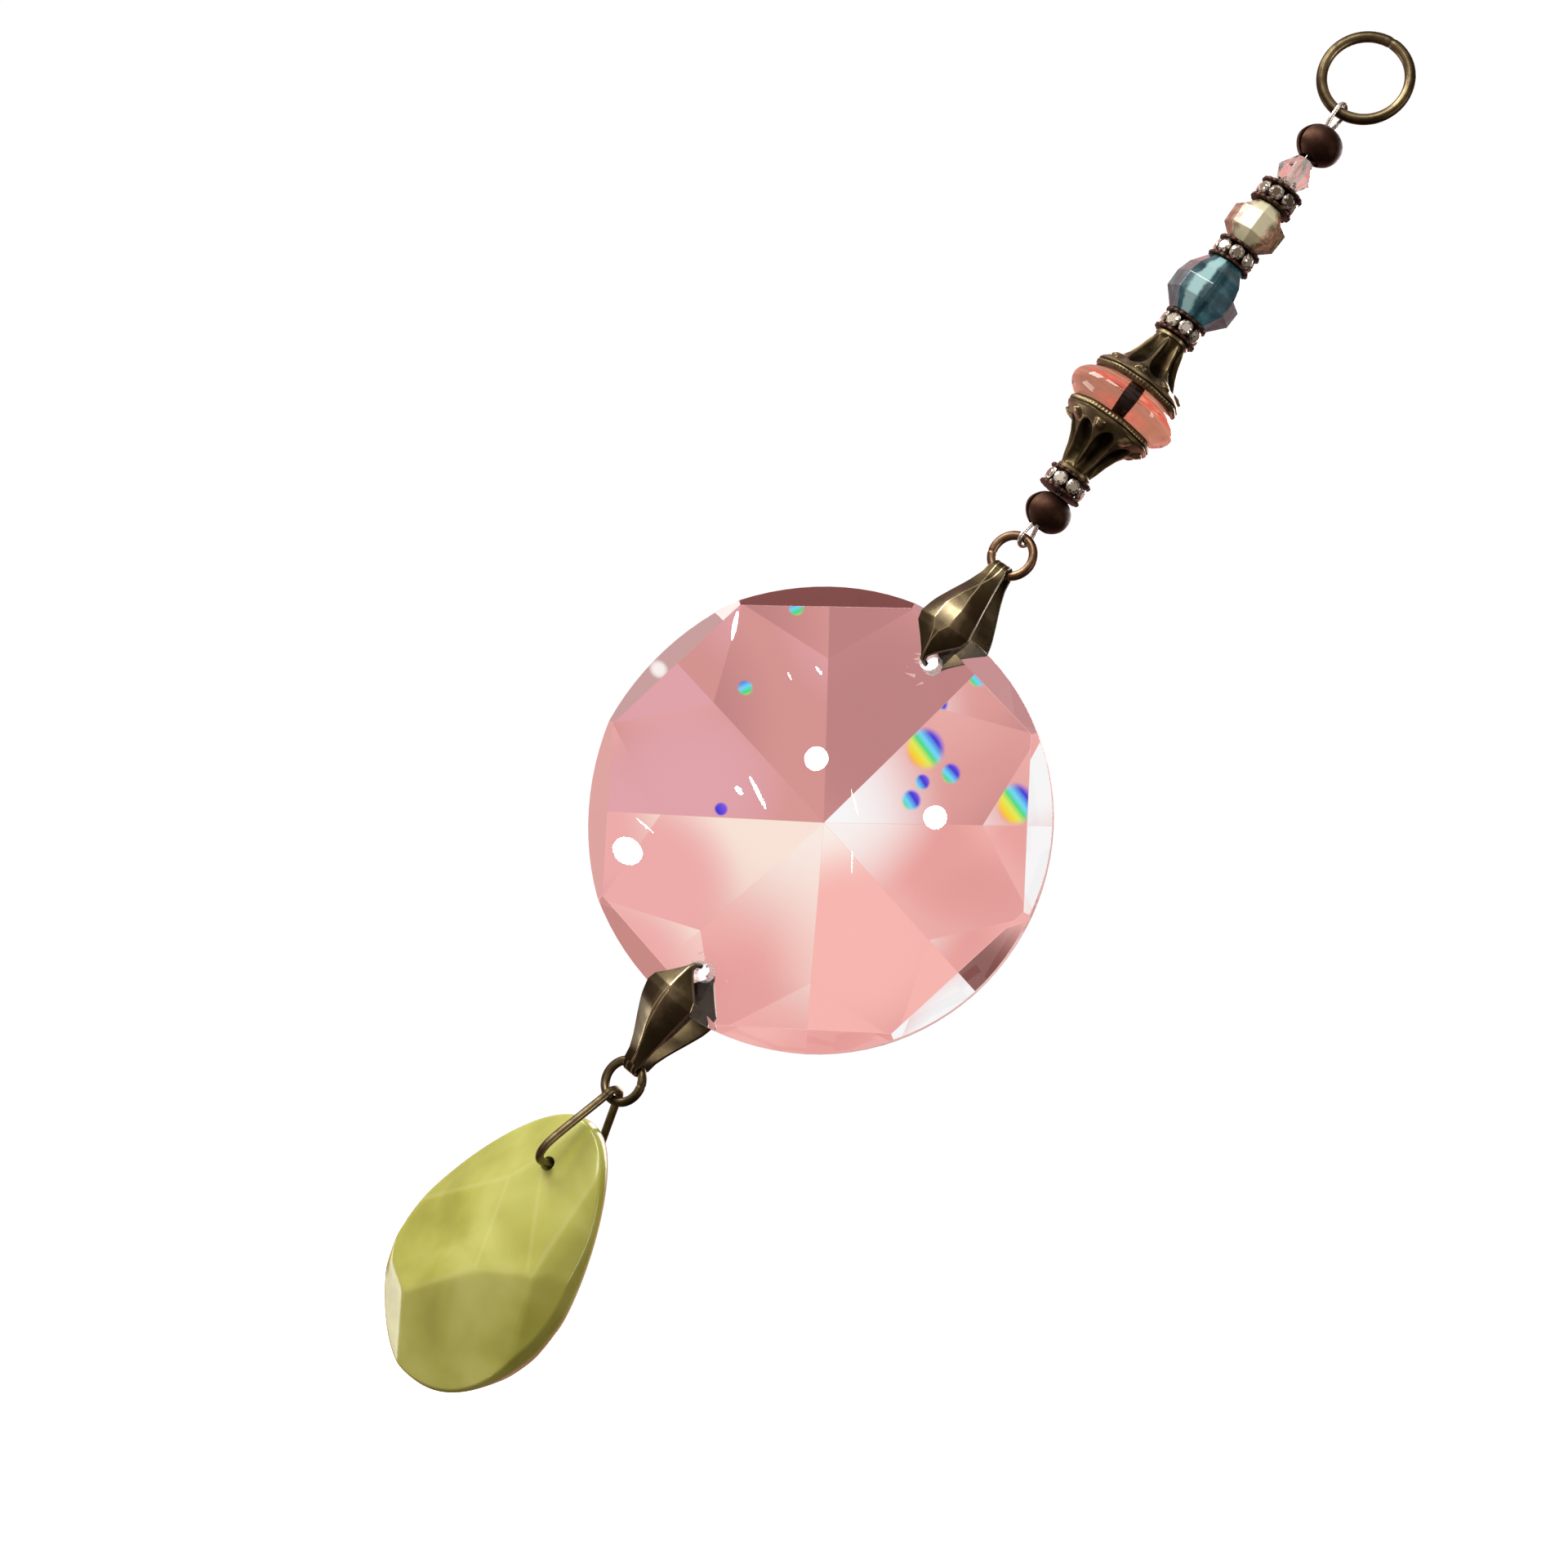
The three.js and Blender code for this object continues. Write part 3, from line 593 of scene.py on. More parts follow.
def rondelleFrame(name, node, clock):
    # two flanges on a core, turned about Z, with fine teeth cut round both flange edges
    outer, top, soft = rondelle["width"] / 2, rondelle["height"] / 2, rondelle["soft"]
    low = top - rondelle["flange"]
    side = [[beadBore, -top], [outer - soft, -top], [outer, -top + soft], [outer, -low - soft],
            [outer - soft, -low], [rondelle["core"], -low]]
    r, z = np.array(side + [[r, -z] for r, z in side[::-1]]).T[..., None]
    theta = circle(rondelle["teeth"] * rondelle["perTooth"])[None, :]
    toothed = r > outer - 0.1
    cut = rondelle["tooth"] * (0.5 - 0.5 * np.cos(rondelle["teeth"] * theta)) ** 2 * toothed
    wear = np.where(toothed, 0.45, 0.0) - 3 * cut
    placed = turnZ(turned(r - cut, z, theta), clock) + [0, 0, middle(node)[2]]
    newPiece(name, placed, gridFaces(len(r), theta.size, closeRows=True), darkBronze,
             "antique_bronze", node, sharp=40, wear=wear)


def rondelleStone(name, node, clock, z):
    # rings of corners from the point behind to the table in front; each facet gets its own painted
    # reflection tone
    sides, girdle, crown = stoneCut["sides"], stoneCut["girdle"], stoneCut["crown"]
    # [radius, forward, part of a step it is turned]
    rows = np.array([[girdle, 0, 0], [girdle, stoneCut["belt"] * stoneCut["beltAt"], 0],
                     [stoneCut["star"], crown * stoneCut["starAt"], 0.5],
                     [stoneCut["table"], crown, 0]])
    k = np.arange(sides)[None, :]
    angle = (k + rows[:, 2:]) / sides * 2 * np.pi
    skin = turned(rows[:, :1] * (1 - stoneCut["wobble"] * (k % 2)), rows[:, 1:2], angle)[..., [2, 0, 1]]
    points = np.vstack([skin.reshape(-1, 3), [[-stoneCut["pavilion"], 0, 0]]])
    faces = [t for a, b, c, d in gridFaces(4, sides) for t in ([a, b, c], [a, c, d])]
    faces.append(list(range(3 * sides, 4 * sides)))
    faces += [[4 * sides, (j + 1) % sides, j] for j in range(sides)]
    reach = rondelle["width"] / 2 - crown - 0.1
    placed = turnZ(points + [reach, 0, 0], clock) + [0, 0, z]
    piece = newPiece(name, placed, faces, stoneFoil, "rhinestone", node, sharp=3)
    # a random painted reflection tone for each facet
    facetGlint = piece.data.attributes.new("facet", "FLOAT", "FACE")
    facetGlint.data.foreach_set("value", rng.random(len(faces)).astype(np.float32))


for i in range(1, 5):
    frameNode = f"rondelle{i}_frame"
    rondelleFrame(f"rondelle{i}_flanges", frameNode, rondelle["clockStep"] * i)
    for k in range(1, rondelle["stones"] + 1):
        clock = (k - 1 + 0.25 * (i - 1)) / rondelle["stones"] * 360
        rondelleStone(f"rondelle{i}_chaton{k}", f"rondelle{i}_stone{k}", clock, middle(frameNode)[2])
print("rondelles made")


bail = {
    "sheet": 0.45, "foldRadius": 0.72, "foldHalfWidth": 0.8, "foldPanel": 0.4, "foldRows": 14,
    "neckHalfWidth": 1.05, "leafRows": 110, "round": 0.1, "rubAndHighlight": 0.55, "leastPanel": 0.04,
    "turnUpper": -12, "turnLower": -15,
    # [share of the way, half width, ridge height, half width of the panel]
    "stations": [[0, 1.15, 0.0, 0.4], [0.1, 1.25, 0.2, 0.3], [0.22, 1.6, 0.55, 0.04],
                 [0.4, 2.25, 1.0, 0.5], [0.56, 2.85, 1.15, 1.0], [0.7, 3.25, 1.15, 0.95],
                 [0.78, 2.95, 1.1, 0.3], [0.88, 1.7, 0.75, 0.04], [0.97, 0.65, 0.3, 0.04],
                 [1, 0.4, 0.12, 0.04]],
    # the inside of the front leaf, [forward, height from the ring]
    "leaf": [[0.72, -2.3], [0.95, -3.6], [1.6, -5.6], [2.35, -7.5], [2.9, -9.3], [3.0, -11.2],
             [3.0, -13.2], [2.9, -14.2]],
    "prong": {"halfWidth": 0.26, "crown": 0.04, "bend": 0.35, "dip": 0.3, "endDip": 0.4, "endY": 1.5},
}


def roundCorners(loop, cut, steps=4):
    # each corner of every row's loop becomes a small quadratic curve between points one cut away
    before, after = np.roll(loop, 1, axis=1), np.roll(loop, -1, axis=1)
    toBefore, toAfter = before - loop, after - loop
    lengthBefore = np.linalg.norm(toBefore, axis=2, keepdims=True) + 1e-9
    lengthAfter = np.linalg.norm(toAfter, axis=2, keepdims=True) + 1e-9
    start = loop + toBefore / lengthBefore * np.minimum(cut, lengthBefore * 0.4)
    end = loop + toAfter / lengthAfter * np.minimum(cut, lengthAfter * 0.4)
    t = np.linspace(0, 1, steps)[None, None, :, None]
    curve = ((1 - t) ** 2 * start[:, :, None] + 2 * t * (1 - t) * loop[:, :, None]
             + t ** 2 * end[:, :, None])
    return curve.reshape(len(loop), -1, loop.shape[2])


def halfBail(panelShare):
    # one leaf from the middle of the fold to the prong's end: where it runs, which way is out,
    # and its half width, ridge height and panel half width, all as arrays
    foldZ = -(rings["upper"]["bore"] + rings["upper"]["wire"]) / 2
    foldRows, least = bail["foldRows"], bail["leastPanel"]
    share = np.linspace(0, 1, foldRows, endpoint=False)
    angle = share * np.pi / 2
    out = np.stack([-np.sin(angle), np.cos(angle)], -1)
    fold = out * bail["foldRadius"] + [0, foldZ]
    foldWidth = bail["foldHalfWidth"] + (bail["neckHalfWidth"] - bail["foldHalfWidth"]) * share
    curve = smoothRoute(np.array(bail["leaf"]) * [-1, 1], 30)
    far = np.r_[0, np.cumsum(np.linalg.norm(np.diff(curve, axis=0), axis=1))]
    along = np.linspace(0, 1, bail["leafRows"])
    at = np.stack([np.interp(along * far[-1], far, curve[:, k]) for k in (0, 1)], -1)
    tangent = np.gradient(at, axis=0)
    tangent /= np.linalg.norm(tangent, axis=1)[:, None]
    leafOut = np.stack([tangent[:, 1], -tangent[:, 0]], -1)
    stations = np.array(bail["stations"])
    width, ridge, panel = (np.interp(along, stations[:, 0], stations[:, k]) for k in (1, 2, 3))
    prong, tip = bail["prong"], at[-1]
    ends = np.array([[tip[0] + prong["bend"], tip[1] - prong["dip"]],
                     [-prong["endY"], tip[1] - prong["endDip"]]])
    endOut = np.array([[-0.7071, -0.7071], [0.0, -1.0]])
    slim = np.full(2, prong["crown"])
    panel = np.maximum(panel * panelShare, least)
    return (np.vstack([fold, at, ends]), np.vstack([out, leafOut, endOut]),
            np.r_[foldWidth, width, np.full(2, prong["halfWidth"])],
            np.r_[np.zeros(foldRows), ridge, slim],
            np.r_[np.full(foldRows, bail["foldPanel"]), panel, slim])


def pinchBail(name, node, ringNode, turn, flip, panelShare):
    # the section is a folded sheet with a flat-topped ridge; the front leaf's rows run up to the
    # fold and the back leaf's down from it, turned half way round
    at, out, width, ridge, panel = halfBail(panelShare)
    sheet = bail["sheet"]
    x = np.stack([-width, -width, -panel, panel, width, width, 0 * width], -1)
    flat = 0 * ridge
    lift = np.stack([flat, sheet + flat, ridge + sheet, ridge + sheet, sheet + flat, flat, ridge], -1)
    loop = np.stack([x, *(at[:, None, k] + lift * out[:, None, k] for k in (0, 1))], -1)
    loop = roundCorners(loop, bail["round"])
    crest = roundCorners(np.stack([x, lift, 0 * x], -1), bail["round"])[..., 1]
    count = loop.shape[1]
    # seen from the back the same loop runs the other way round, so it is read backwards
    rows = np.vstack([loop[::-1], loop[1:, ::-1] * [-1, -1, 1]])
    wear = np.vstack([crest[::-1], crest[1:, ::-1]])
    # rubbed bright, and painted with highlight lines, along the ridge lines and the outer edges, corner
    # by corner
    edge = np.repeat([0, 0.8, 1, 1, 0.8, 0, 0], 4) * np.tile([0, 1, 1, 0], 7)
    edge = np.vstack([np.tile(edge, (len(loop), 1)), np.tile(edge[::-1], (len(loop) - 1, 1))])
    wear = np.clip((wear - 0.35) / 1.3, 0, 1) * 0.4 + 0.18 + bail["rubAndHighlight"] * edge
    if flip:
        rows = rows * [1, -1, -1]
    points = turnZ(rows, turn) + middle(ringNode)
    newPiece(name, points, tubeFaces(len(rows), count), leafBronze, "antique_bronze", node,
             sharp=14, wear=wear)


pinchBail("leaf_bail_upper", "bail_upper", "bail_ring_upper", bail["turnUpper"], False, 1.0)
pinchBail("leaf_bail_lower", "bail_lower", "bail_ring_lower", bail["turnLower"], True, 0.2)
print("bails made")


disc = {"edge": 0.07, "holeRadius": 1.1, "holeReach": 20.4, "chips": 15, "chipSpread": 1.9,
        "chipLength": [0.25, 1.3], "chipSlim": 0.16, "chipFrom": 0.15, "chipDepth": 0.5}


def mergedCopy(name, node, sharp):
    # a copy of the node's own facets with its loose triangles welded and flat ones joined
    mesh = frame["nodes"][node].data.copy()
    mesh.name = name
    work = bmesh.new()
    work.from_mesh(mesh)
    bmesh.ops.remove_doubles(work, verts=work.verts, dist=1e-6)
    bmesh.ops.dissolve_limit(work, angle_limit=math.radians(0.4), verts=work.verts, edges=work.edges)
    work.to_mesh(mesh)
    work.free()
    mesh.materials.clear()
    smooth(mesh, sharp)
    return mesh


def addChips(mesh):
    # thin slivers inside the glass round each drilled hole, where the drill bruised it: each is a
    # triangle lying at its own depth behind the table
    work = bmesh.new()
    work.from_mesh(mesh)
    centre = middle("crystal")
    table = corners("crystal")[0][1]
    least, most = disc["chipLength"]
    for side in (1, -1):
        for angle, far, size, deep, lean in rng.random((disc["chips"], 5)):
            way = angle * 2 * np.pi
            reach = disc["holeRadius"] + 0.1 + disc["chipSpread"] * far ** 2
            length = least + (most - least) * size ** 2
            heading = way + (lean - 0.5) * 2.4
            c, s = np.cos(heading), np.sin(heading)
            along = np.array([c, 0.25 * (deep - 0.5), s]) * length
            across = np.array([-s, 0.3, c]) * length * disc["chipSlim"]
            foot = centre * [1, 0, 1] + [
                reach * np.cos(way), table + disc["chipFrom"] + disc["chipDepth"] * deep,
                side * disc["holeReach"] + reach * np.sin(way)]
            ends = [foot + along / 2, foot - along / 2 + across, foot - along / 2 - across]
            work.faces.new([work.verts.new((end * mm).tolist()) for end in ends]).material_index = 1
    work.to_mesh(mesh)
    work.free()


def crystalDisc():
    mesh = mergedCopy("crystal_disc", "crystal", 2)
    mesh.materials.append(crystalGlass)
    mesh.materials.append(frostedGlass)
    centres = np.empty(len(mesh.polygons) * 3)
    mesh.polygons.foreach_get("center", centres)
    centres = centres.reshape(-1, 3) / mm - middle("crystal")
    away = np.hypot(centres[:, 0], np.abs(centres[:, 2]) - disc["holeReach"])
    inHole = away < disc["holeRadius"] + 0.02
    mesh.polygons.foreach_set("material_index", inHole.astype(np.int32))
    addChips(mesh)
    piece = addPiece("crystal_disc", mesh, "crystal")
    soften(piece, disc["edge"], 1, 4)


stone = {
    "length": 33.3, "width": 22.0, "edge": 3.0, "egg": 0.14, "hole": 0.8, "turn": -20,
    "soft": 9.0, "ridge": 0.24, "inset": 0.98, "bulge": 0.0159, "rings": 80, "spokes": 192, "band": 7,
    "drillPast": 8,
    # the front's facets: [fall to the right, fall upwards, and a point on it: right, up, depth]
    "facets": [[-0.22, 0.06, 1.6, -2.4, 4.3], [-0.09, 0.12, 1.6, -2.4, 4.3],
               [0.15, -0.25, 1.6, -2.4, 4.3], [-0.4, -0.56, -4.6, -9.9, 3.3],
               [0.45, 0.3, 8.3, 2.2, 3.8], [-0.42, 0.25, -2.2, 7.4, 2.88], [0.03, 0.22, 0, 10.65, 2.5]],
    "crown": 14, "crownFall": 0.9, "crownFrom": 0.2,
}


def outline(t):
    # an egg: an ellipse whose width grows towards the foot; t runs from the foot round to the right
    x = stone["width"] / 2 * np.sin(t) * (1 + stone["egg"] * np.cos(t))
    return np.stack([x, -stone["length"] / 2 * np.cos(t)], -1) * stone["inset"]


def facetPlanes():
    # each facet, then the crown's, as depth = level - a x - b z
    f = np.array(stone["facets"])
    main = np.c_[f[:, 4] + f[:, 0] * f[:, 2] + f[:, 1] * f[:, 3], f[:, :2]]
    t = circle(stone["crown"]) + stone["crownFrom"]
    way = np.stack([np.sin(t), -np.cos(t)], -1)
    reach = (outline(np.linspace(0, 2 * np.pi, 240)) @ way.T).max(0)
    crown = np.c_[stone["edge"] / 2 + reach * stone["crownFall"], way * stone["crownFall"]]
    return np.vstack([main, crown])


def stoneDrop():
    # two faces and a rim: each face is the softened lowest of its facet planes over a fan of
    # rings inside the outline; the rim bulges a little between them; then the hole is cut
    planes = facetPlanes()
    spokes = stone["spokes"]
    flat = outline(circle(spokes))[None] * np.linspace(0.02, 1, stone["rings"])[:, None, None]
    x, z = flat[..., 0], flat[..., 1]
    level, fallRight, fallUp = planes.T[..., None, None]
    depths = level - fallRight * x - fallUp * z
    order = np.argsort(depths, axis=0)
    low = np.take_along_axis(depths, order[:1], 0)[0]
    depth = low - np.log(np.exp(-stone["soft"] * (depths - low)).sum(0)) / stone["soft"]
    # how near a point is to the edge between its two lowest facets, crown edges left out
    gap = np.take_along_axis(depths, order[1:2], 0)[0] - low
    bend = np.linalg.norm(planes[order[0], 1:] - planes[order[1], 1:], axis=-1)
    inner = np.maximum(order[0], order[1]) < len(stone["facets"])
    ridge = np.exp(-(gap / (bend * stone["ridge"])) ** 2) * inner
    front = np.stack([x, -depth, z], -1)
    # the back face is the front turned half way round Z
    back = np.roll(front[:, ::-1] * [-1, -1, 1], 1, axis=1)
    across = np.linspace(0, 1, stone["band"] + 2)[1:-1, None, None]
    swell = 1 + stone["bulge"] * np.sin(np.pi * across) * [1, 0, 1]
    band = (front[-1] * (1 - across) + back[-1] * across) * swell
    rows = np.vstack([front, band, back[::-1]])
    edges = np.vstack([ridge, 0 * band[..., 0], np.roll(ridge[:, ::-1], 1, axis=1)[::-1]])
    points = turnZ(rows, stone["turn"]) + [0, 0, middle("stone_drop")[2]]
    piece = newPiece("jade_drop", points, tubeFaces(len(rows), spokes), jade, "olive_jade",
                     "stone_drop", sharp=60, ridge=edges)
    drill(piece)


def drill(piece):
    # cuts the round hole from front to back, then drops the cutter
    holeZ = corners("drop_wire")[0][2] + dropWire["size"] / 2
    past = np.array([[stone["drillPast"]], [-stone["drillPast"]]])
    ends = turned(stone["hole"], past, circle(24))[..., [0, 2, 1]]
    points = turnZ(ends, stone["turn"]) + [0, 0, holeZ]
    mesh = newMesh("drill", points, tubeFaces(2, 24))
    cutter = newObject("drill", mesh)
    cut = piece.modifiers.new("hole", "BOOLEAN")
    cut.operation, cut.solver, cut.object = "DIFFERENCE", "EXACT", cutter
    bpy.context.view_layer.update()
    drilled = piece.evaluated_get(bpy.context.evaluated_depsgraph_get())
    cutMesh = bpy.data.meshes.new_from_object(drilled)
    piece.modifiers.clear()
    old, piece.data = piece.data, cutMesh
    cutMesh.name = old.name + "_drilled"
    bpy.data.meshes.remove(old)
    bpy.data.objects.remove(cutter)
    bpy.data.meshes.remove(mesh)


dropWire = {"size": 0.9, "bow": 1.25, "clearance": 0.15, "turn": -20, "sides": 20,
            # from the tip in the stone's hole out and up, [forward, above the hole]
            "leg": [[0.75, 0], [3.4, 0], [4.5, 0.35], [4.9, 1.3], [4.5, 2.9]]}
crystalDisc()
stoneDrop()


def dropBail():
    # a tube along the bent wire: in from the stone's hole, out, up over the ring and down again
    joint = rings["lower"]
    ringWire = middle("bail_ring_lower")[2] - (joint["bore"] + joint["wire"]) / 2
    hole = corners("drop_wire")[0][2] + dropWire["size"] / 2
    crest = ringWire + joint["wire"] / 2 + dropWire["size"] / 2 + dropWire["clearance"]
    leg = np.array([*(np.array(dropWire["leg"]) + [0, hole]), [2.6, ringWire - 2.6]])
    arch = bow(dropWire["bow"], ringWire, crest, 10)
    route = smoothRoute(np.vstack([leg, arch, leg[::-1] * [-1, 1]]), 8)
    tube = sweep(route, dropWire["size"] / 2, dropWire["sides"])
    # lighter down one side of the wire's section than the other, all along it
    wear = 0.45 + 0.2 * np.cos(circle(dropWire["sides"])) + np.zeros((len(route), 1))
    newPiece("drop_wire_bail", turnZ(tube, dropWire["turn"]), tubeFaces(*tube.shape[:2]), bronze,
             "antique_bronze", "drop_wire", wear=wear)


dropBail()
print("crystal, drop and its wire made")


view = {"azimuth": 13.0, "distance": 270.0, "roll": 36.5, "frame": 167.0, "aside": 5.1, "above": 0.8,
        "sensor": 36}

# level and straight ahead from the camera, and to its right
azimuth = math.radians(view["azimuth"])
lookWay = np.array([-math.sin(azimuth), math.cos(azimuth), 0])
rightWay = np.array([math.cos(azimuth), math.sin(azimuth), 0])
upWay = np.array([0, 0, 1.0])


def placeCamera():
    # the camera stands level with the crystal, a little to its right, and is rolled so that the
    # string runs from the frame's upper right to its lower left
    roll = math.radians(view["roll"])
    target = middle("crystal") - view["aside"] * rightWay + view["above"] * upWay
    target[1] = 0 - view["aside"] * rightWay[1]
    place = target - view["distance"] * lookWay
    data = bpy.data.cameras.new("camera")
    data.sensor_width = view["sensor"]
    data.lens = view["sensor"] / 2 / (view["frame"] / 2 / view["distance"])
    data.clip_start, data.clip_end = 0.01, 20
    camera = newObject("camera", data)
    matrix = np.eye(4)
    matrix[:3] = np.stack([math.cos(roll) * rightWay + math.sin(roll) * upWay,
                           math.cos(roll) * upWay - math.sin(roll) * rightWay, -lookWay, place * mm], 1)
    camera.matrix_world = Matrix(matrix.tolist())
    bpy.context.scene.camera = camera
    return place


eye = placeCamera()


studio = {"floorBelow": 30.0, "floorRadius": 190.0, "glow": 0.75, "paper": "#fafafa"}


def floorDisc():
    # a round sheet under the drop, as white as the space beyond its rim
    z = cadBox[0][2] / mm - studio["floorBelow"]
    points = turned(studio["floorRadius"], z, circle(96))
    mesh = newMesh("floor", points, [list(range(96))])
    material, tree, bsdf = newMaterial("matt_white_paper")
    feed(tree, bsdf, {"Base Color": toLinear(studio["paper"]), "Roughness": 0.8,
                      "Emission Color": toLinear("#ffffff"), "Emission Strength": studio["glow"]})
    mesh.materials.append(material)
    floor = newObject("floor", mesh)
    # it does not light the object or show through the glass
    floor.visible_diffuse = floor.visible_glossy = floor.visible_transmission = False


floorDisc()

# each is aimed at the crystal's middle: place, width, height, watts, colour
softboxes = {
    "key": [(-260, -380, 180), 220, 220, 1.3, "#fffaf4"],
    "side": [(-460, -130, 115), 260, 260, 2.2, "#fffaf4"],
    "low": [(-400, 140, -423), 200, 200, 0.5, "#fffaf4"],
    "fill": [(430, -180, 40), 70, 320, 0.5, "#fff4ea"],
    "back": [(60, 420, 160), 400, 300, 2.0, "#ffffff"],
}


def softbox(name, place, width, tall, power, colour):
    data = bpy.data.lights.new(name, "AREA")
    data.shape = "RECTANGLE"
    data.size, data.size_y = width * mm, tall * mm
    data.energy = power
    data.color = toLinear(colour)[:3]
    light = newObject(name, data)
    light.location = Vector(place) * mm
    light.rotation_mode = "QUATERNION"
    way = Vector(middle("crystal").tolist()) - Vector(place)
    light.rotation_quaternion = way.to_track_quat("-Z", "Y")
    # it shows in the metal and on the stone, but not through the glass
    light.visible_camera = light.visible_transmission = False


for name, row in softboxes.items():
    softbox(name, *row)

# small lights that show as spots where the crystal's table mirrors them to the front:
# [right of the crystal's middle, above it, width, height, strength, tilt]
lamps = {
    "far": 500.0, "colour": "#fffdf8",
    "lamp": [[-3.5, 5.0, 2.5, 2.6, 60, 0], [10.5, 7.4, 2.5, 2.5, 60, 0],
             [-14.1, -14.9, 3.4, 2.8, 60, 0]],
    "streak": [[-6.4, -1.6, 4.0, 0.45, 40, 27], [-8.2, -2.6, 1.2, 0.6, 60, 15],
               [2.6, 3.7, 2.8, 0.14, 40, 38], [-19.4, 11.3, 0.5, 3.2, 50, -25],
               [-9.0, 12.7, 1.1, 0.3, 40, 15], [-11.2, 10.4, 0.9, 0.25, 30, 25],
               [-14.2, -11.6, 2.6, 0.22, 30, 4], [6.2, -1.5, 2.4, 0.16, 30, 55]],
}


def lampPlate(name, right, above, width, tall, strength, tilt):
    # an oval plate on the line from the eye to its spot on the table and on by the mirrored way,
    # square to that line, and larger by as much as it is farther off
    spot = middle("crystal") + [right, 0, above]
    spot[1] = corners("crystal")[0][1]
    far = np.linalg.norm(spot - eye)
    way = (spot - eye) / far * [1, -1, 1]
    scale = (far + lamps["far"]) / far
    across = np.cross(upWay, -way)
    across /= np.linalg.norm(across)
    upward = np.cross(-way, across)
    t, turn = circle(24), math.radians(tilt)
    u, v = np.cos(t) * width * scale / 2, np.sin(t) * tall * scale / 2
    points = (spot + way * lamps["far"] + np.outer(u * math.cos(turn) - v * math.sin(turn), across)
              + np.outer(u * math.sin(turn) + v * math.cos(turn), upward))
    mesh = newMesh(name, points, [list(range(24))])
    material, tree, _ = newMaterial(name)
    tree.nodes.clear()
    light = addNode(tree, "Emission", Color=toLinear(lamps["colour"]), Strength=strength)
    addNode(tree, "OutputMaterial", Surface=light)
    mesh.materials.append(material)
    plate = newObject(name, mesh)
    plate.visible_camera = plate.visible_shadow = plate.visible_transmission = False


for kind in ("lamp", "streak"):
    for i, row in enumerate(lamps[kind]):
        lampPlate(f"{kind}_{i}", *row)

# the tones of the room that only the object sees; aside and above are degrees from straight
# behind it, seen from the front
room = {
    "patch": 2.0, "strength": 1.0, "white": 1.02, "folds": 11.0, "backdropFrom": 34.0,
    "backdropTo": 58.0,
    "backdrop": [(0.3, "#e2938f"), (0.5, "#f2a8a3"), (0.7, "#ffc6bf")],
    "tones": [(0.3, "#6f564f"), (0.42, "#b59d93"), (0.52, "#d9cdc6"), (0.62, "#efe9e4"),
              (0.72, "#ffffff")],
    "bright": [-0.72, -0.42, 0.55], "air": "#ece8e6", "airShare": 0.55,
    "sides": [(0.0, "#59504b"), (0.45, "#a39a94"), (0.75, "#e6dfda"), (1.0, "#ffffff")],
    # aside, above, radius, share of it at full strength, colour
    "glows": [[8, -5.5, 14, 0.2, "#d99591"], [2.5, -5, 3.6, 0.2, "#c08180"],
              [-4.2, -7.8, 4.4, 0.3, "#ffffff"], [-8, -1, 3.6, 0.3, "#fffaf6"],
              [-6.2, 4.8, 3, 0.4, "#fff3ea"], [-3.4, 2.4, 2.8, 0.3, "#fdb8b0"],
              [-1, 8.8, 5, 0.3, "#fff0e6"], [4.4, 6.6, 4.8, 0.3, "#ffe9dc"],
              [3, 2.4, 2.4, 0.4, "#f3adab"], [5.6, 0.2, 2.4, 0.05, "#e6a6ad"],
              [24, -5, 4, 0.6, "#c99c9a"], [24, -3.4, 0.22, 0.3, "#fff6f2"],
              [13.5, -20, 7, 0.4, "#7c3c3b"], [-5, -22, 7, 0.4, "#c98f90"],
              [-20.5, -12.5, 4.5, 0.6, "#ffffff"], [-20.5, 5.5, 3, 0.6, "#ffffff"],
              [-23, 1.5, 2.5, 0.4, "#8a5552"], [5, 22.5, 4, 0.6, "#cb8882"],
              [20.5, 13, 4, 0.5, "#e3a5a1"]],
    # aside, above, radius, lean, and the part of the spectrum it shows
    "fires": [[-2.37, -3.99, 0.52, 15, 0.0, 1.0], [-1.54, -4.07, 0.26, 10, 0.4, 1.0],
              [-1.98, -4.63, 0.2, 20, 0.55, 1.0], [-1.96, -5.12, 0.26, 20, 0.45, 1.0],
              [6.44, 0.15, 0.17, 20, 0.75, 1.0], [4.23, -2.82, 0.19, -60, 0.4, 0.8]],
    "spectrum": [(0.0, "#ff7a4a"), (0.2, "#ffd21a"), (0.36, "#eaf24a"), (0.5, "#3fe07a"),
                 (0.62, "#6fdcff"), (0.8, "#2a1ad8"), (1.0, "#8a5af0")],
}


def aim(aside, above):
    # the direction that many degrees to the right of and above straight behind the object
    way = (lookWay + math.tan(math.radians(aside)) * rightWay
           + [0, 0, math.tan(math.radians(above))])
    return (way / np.linalg.norm(way)).tolist()


def glow(tree, direction, under, aside, above, radius, full, colour):
    # a soft round patch of colour: whole within its full share, gone at its radius
    near = addNode(tree, "VectorMath", dotProduct, "Value", i0=direction,
                   i1=aim(aside, above))
    edge, core = math.cos(math.radians(radius)), math.cos(math.radians(radius * full))
    share = addNode(tree, "MapRange", {"interpolation_type": "SMOOTHSTEP"}, Value=near, i1=edge,
                    i2=core)
    return addNode(tree, "Mix", mixColour, 2, i0=share, i6=under, i7=colour)


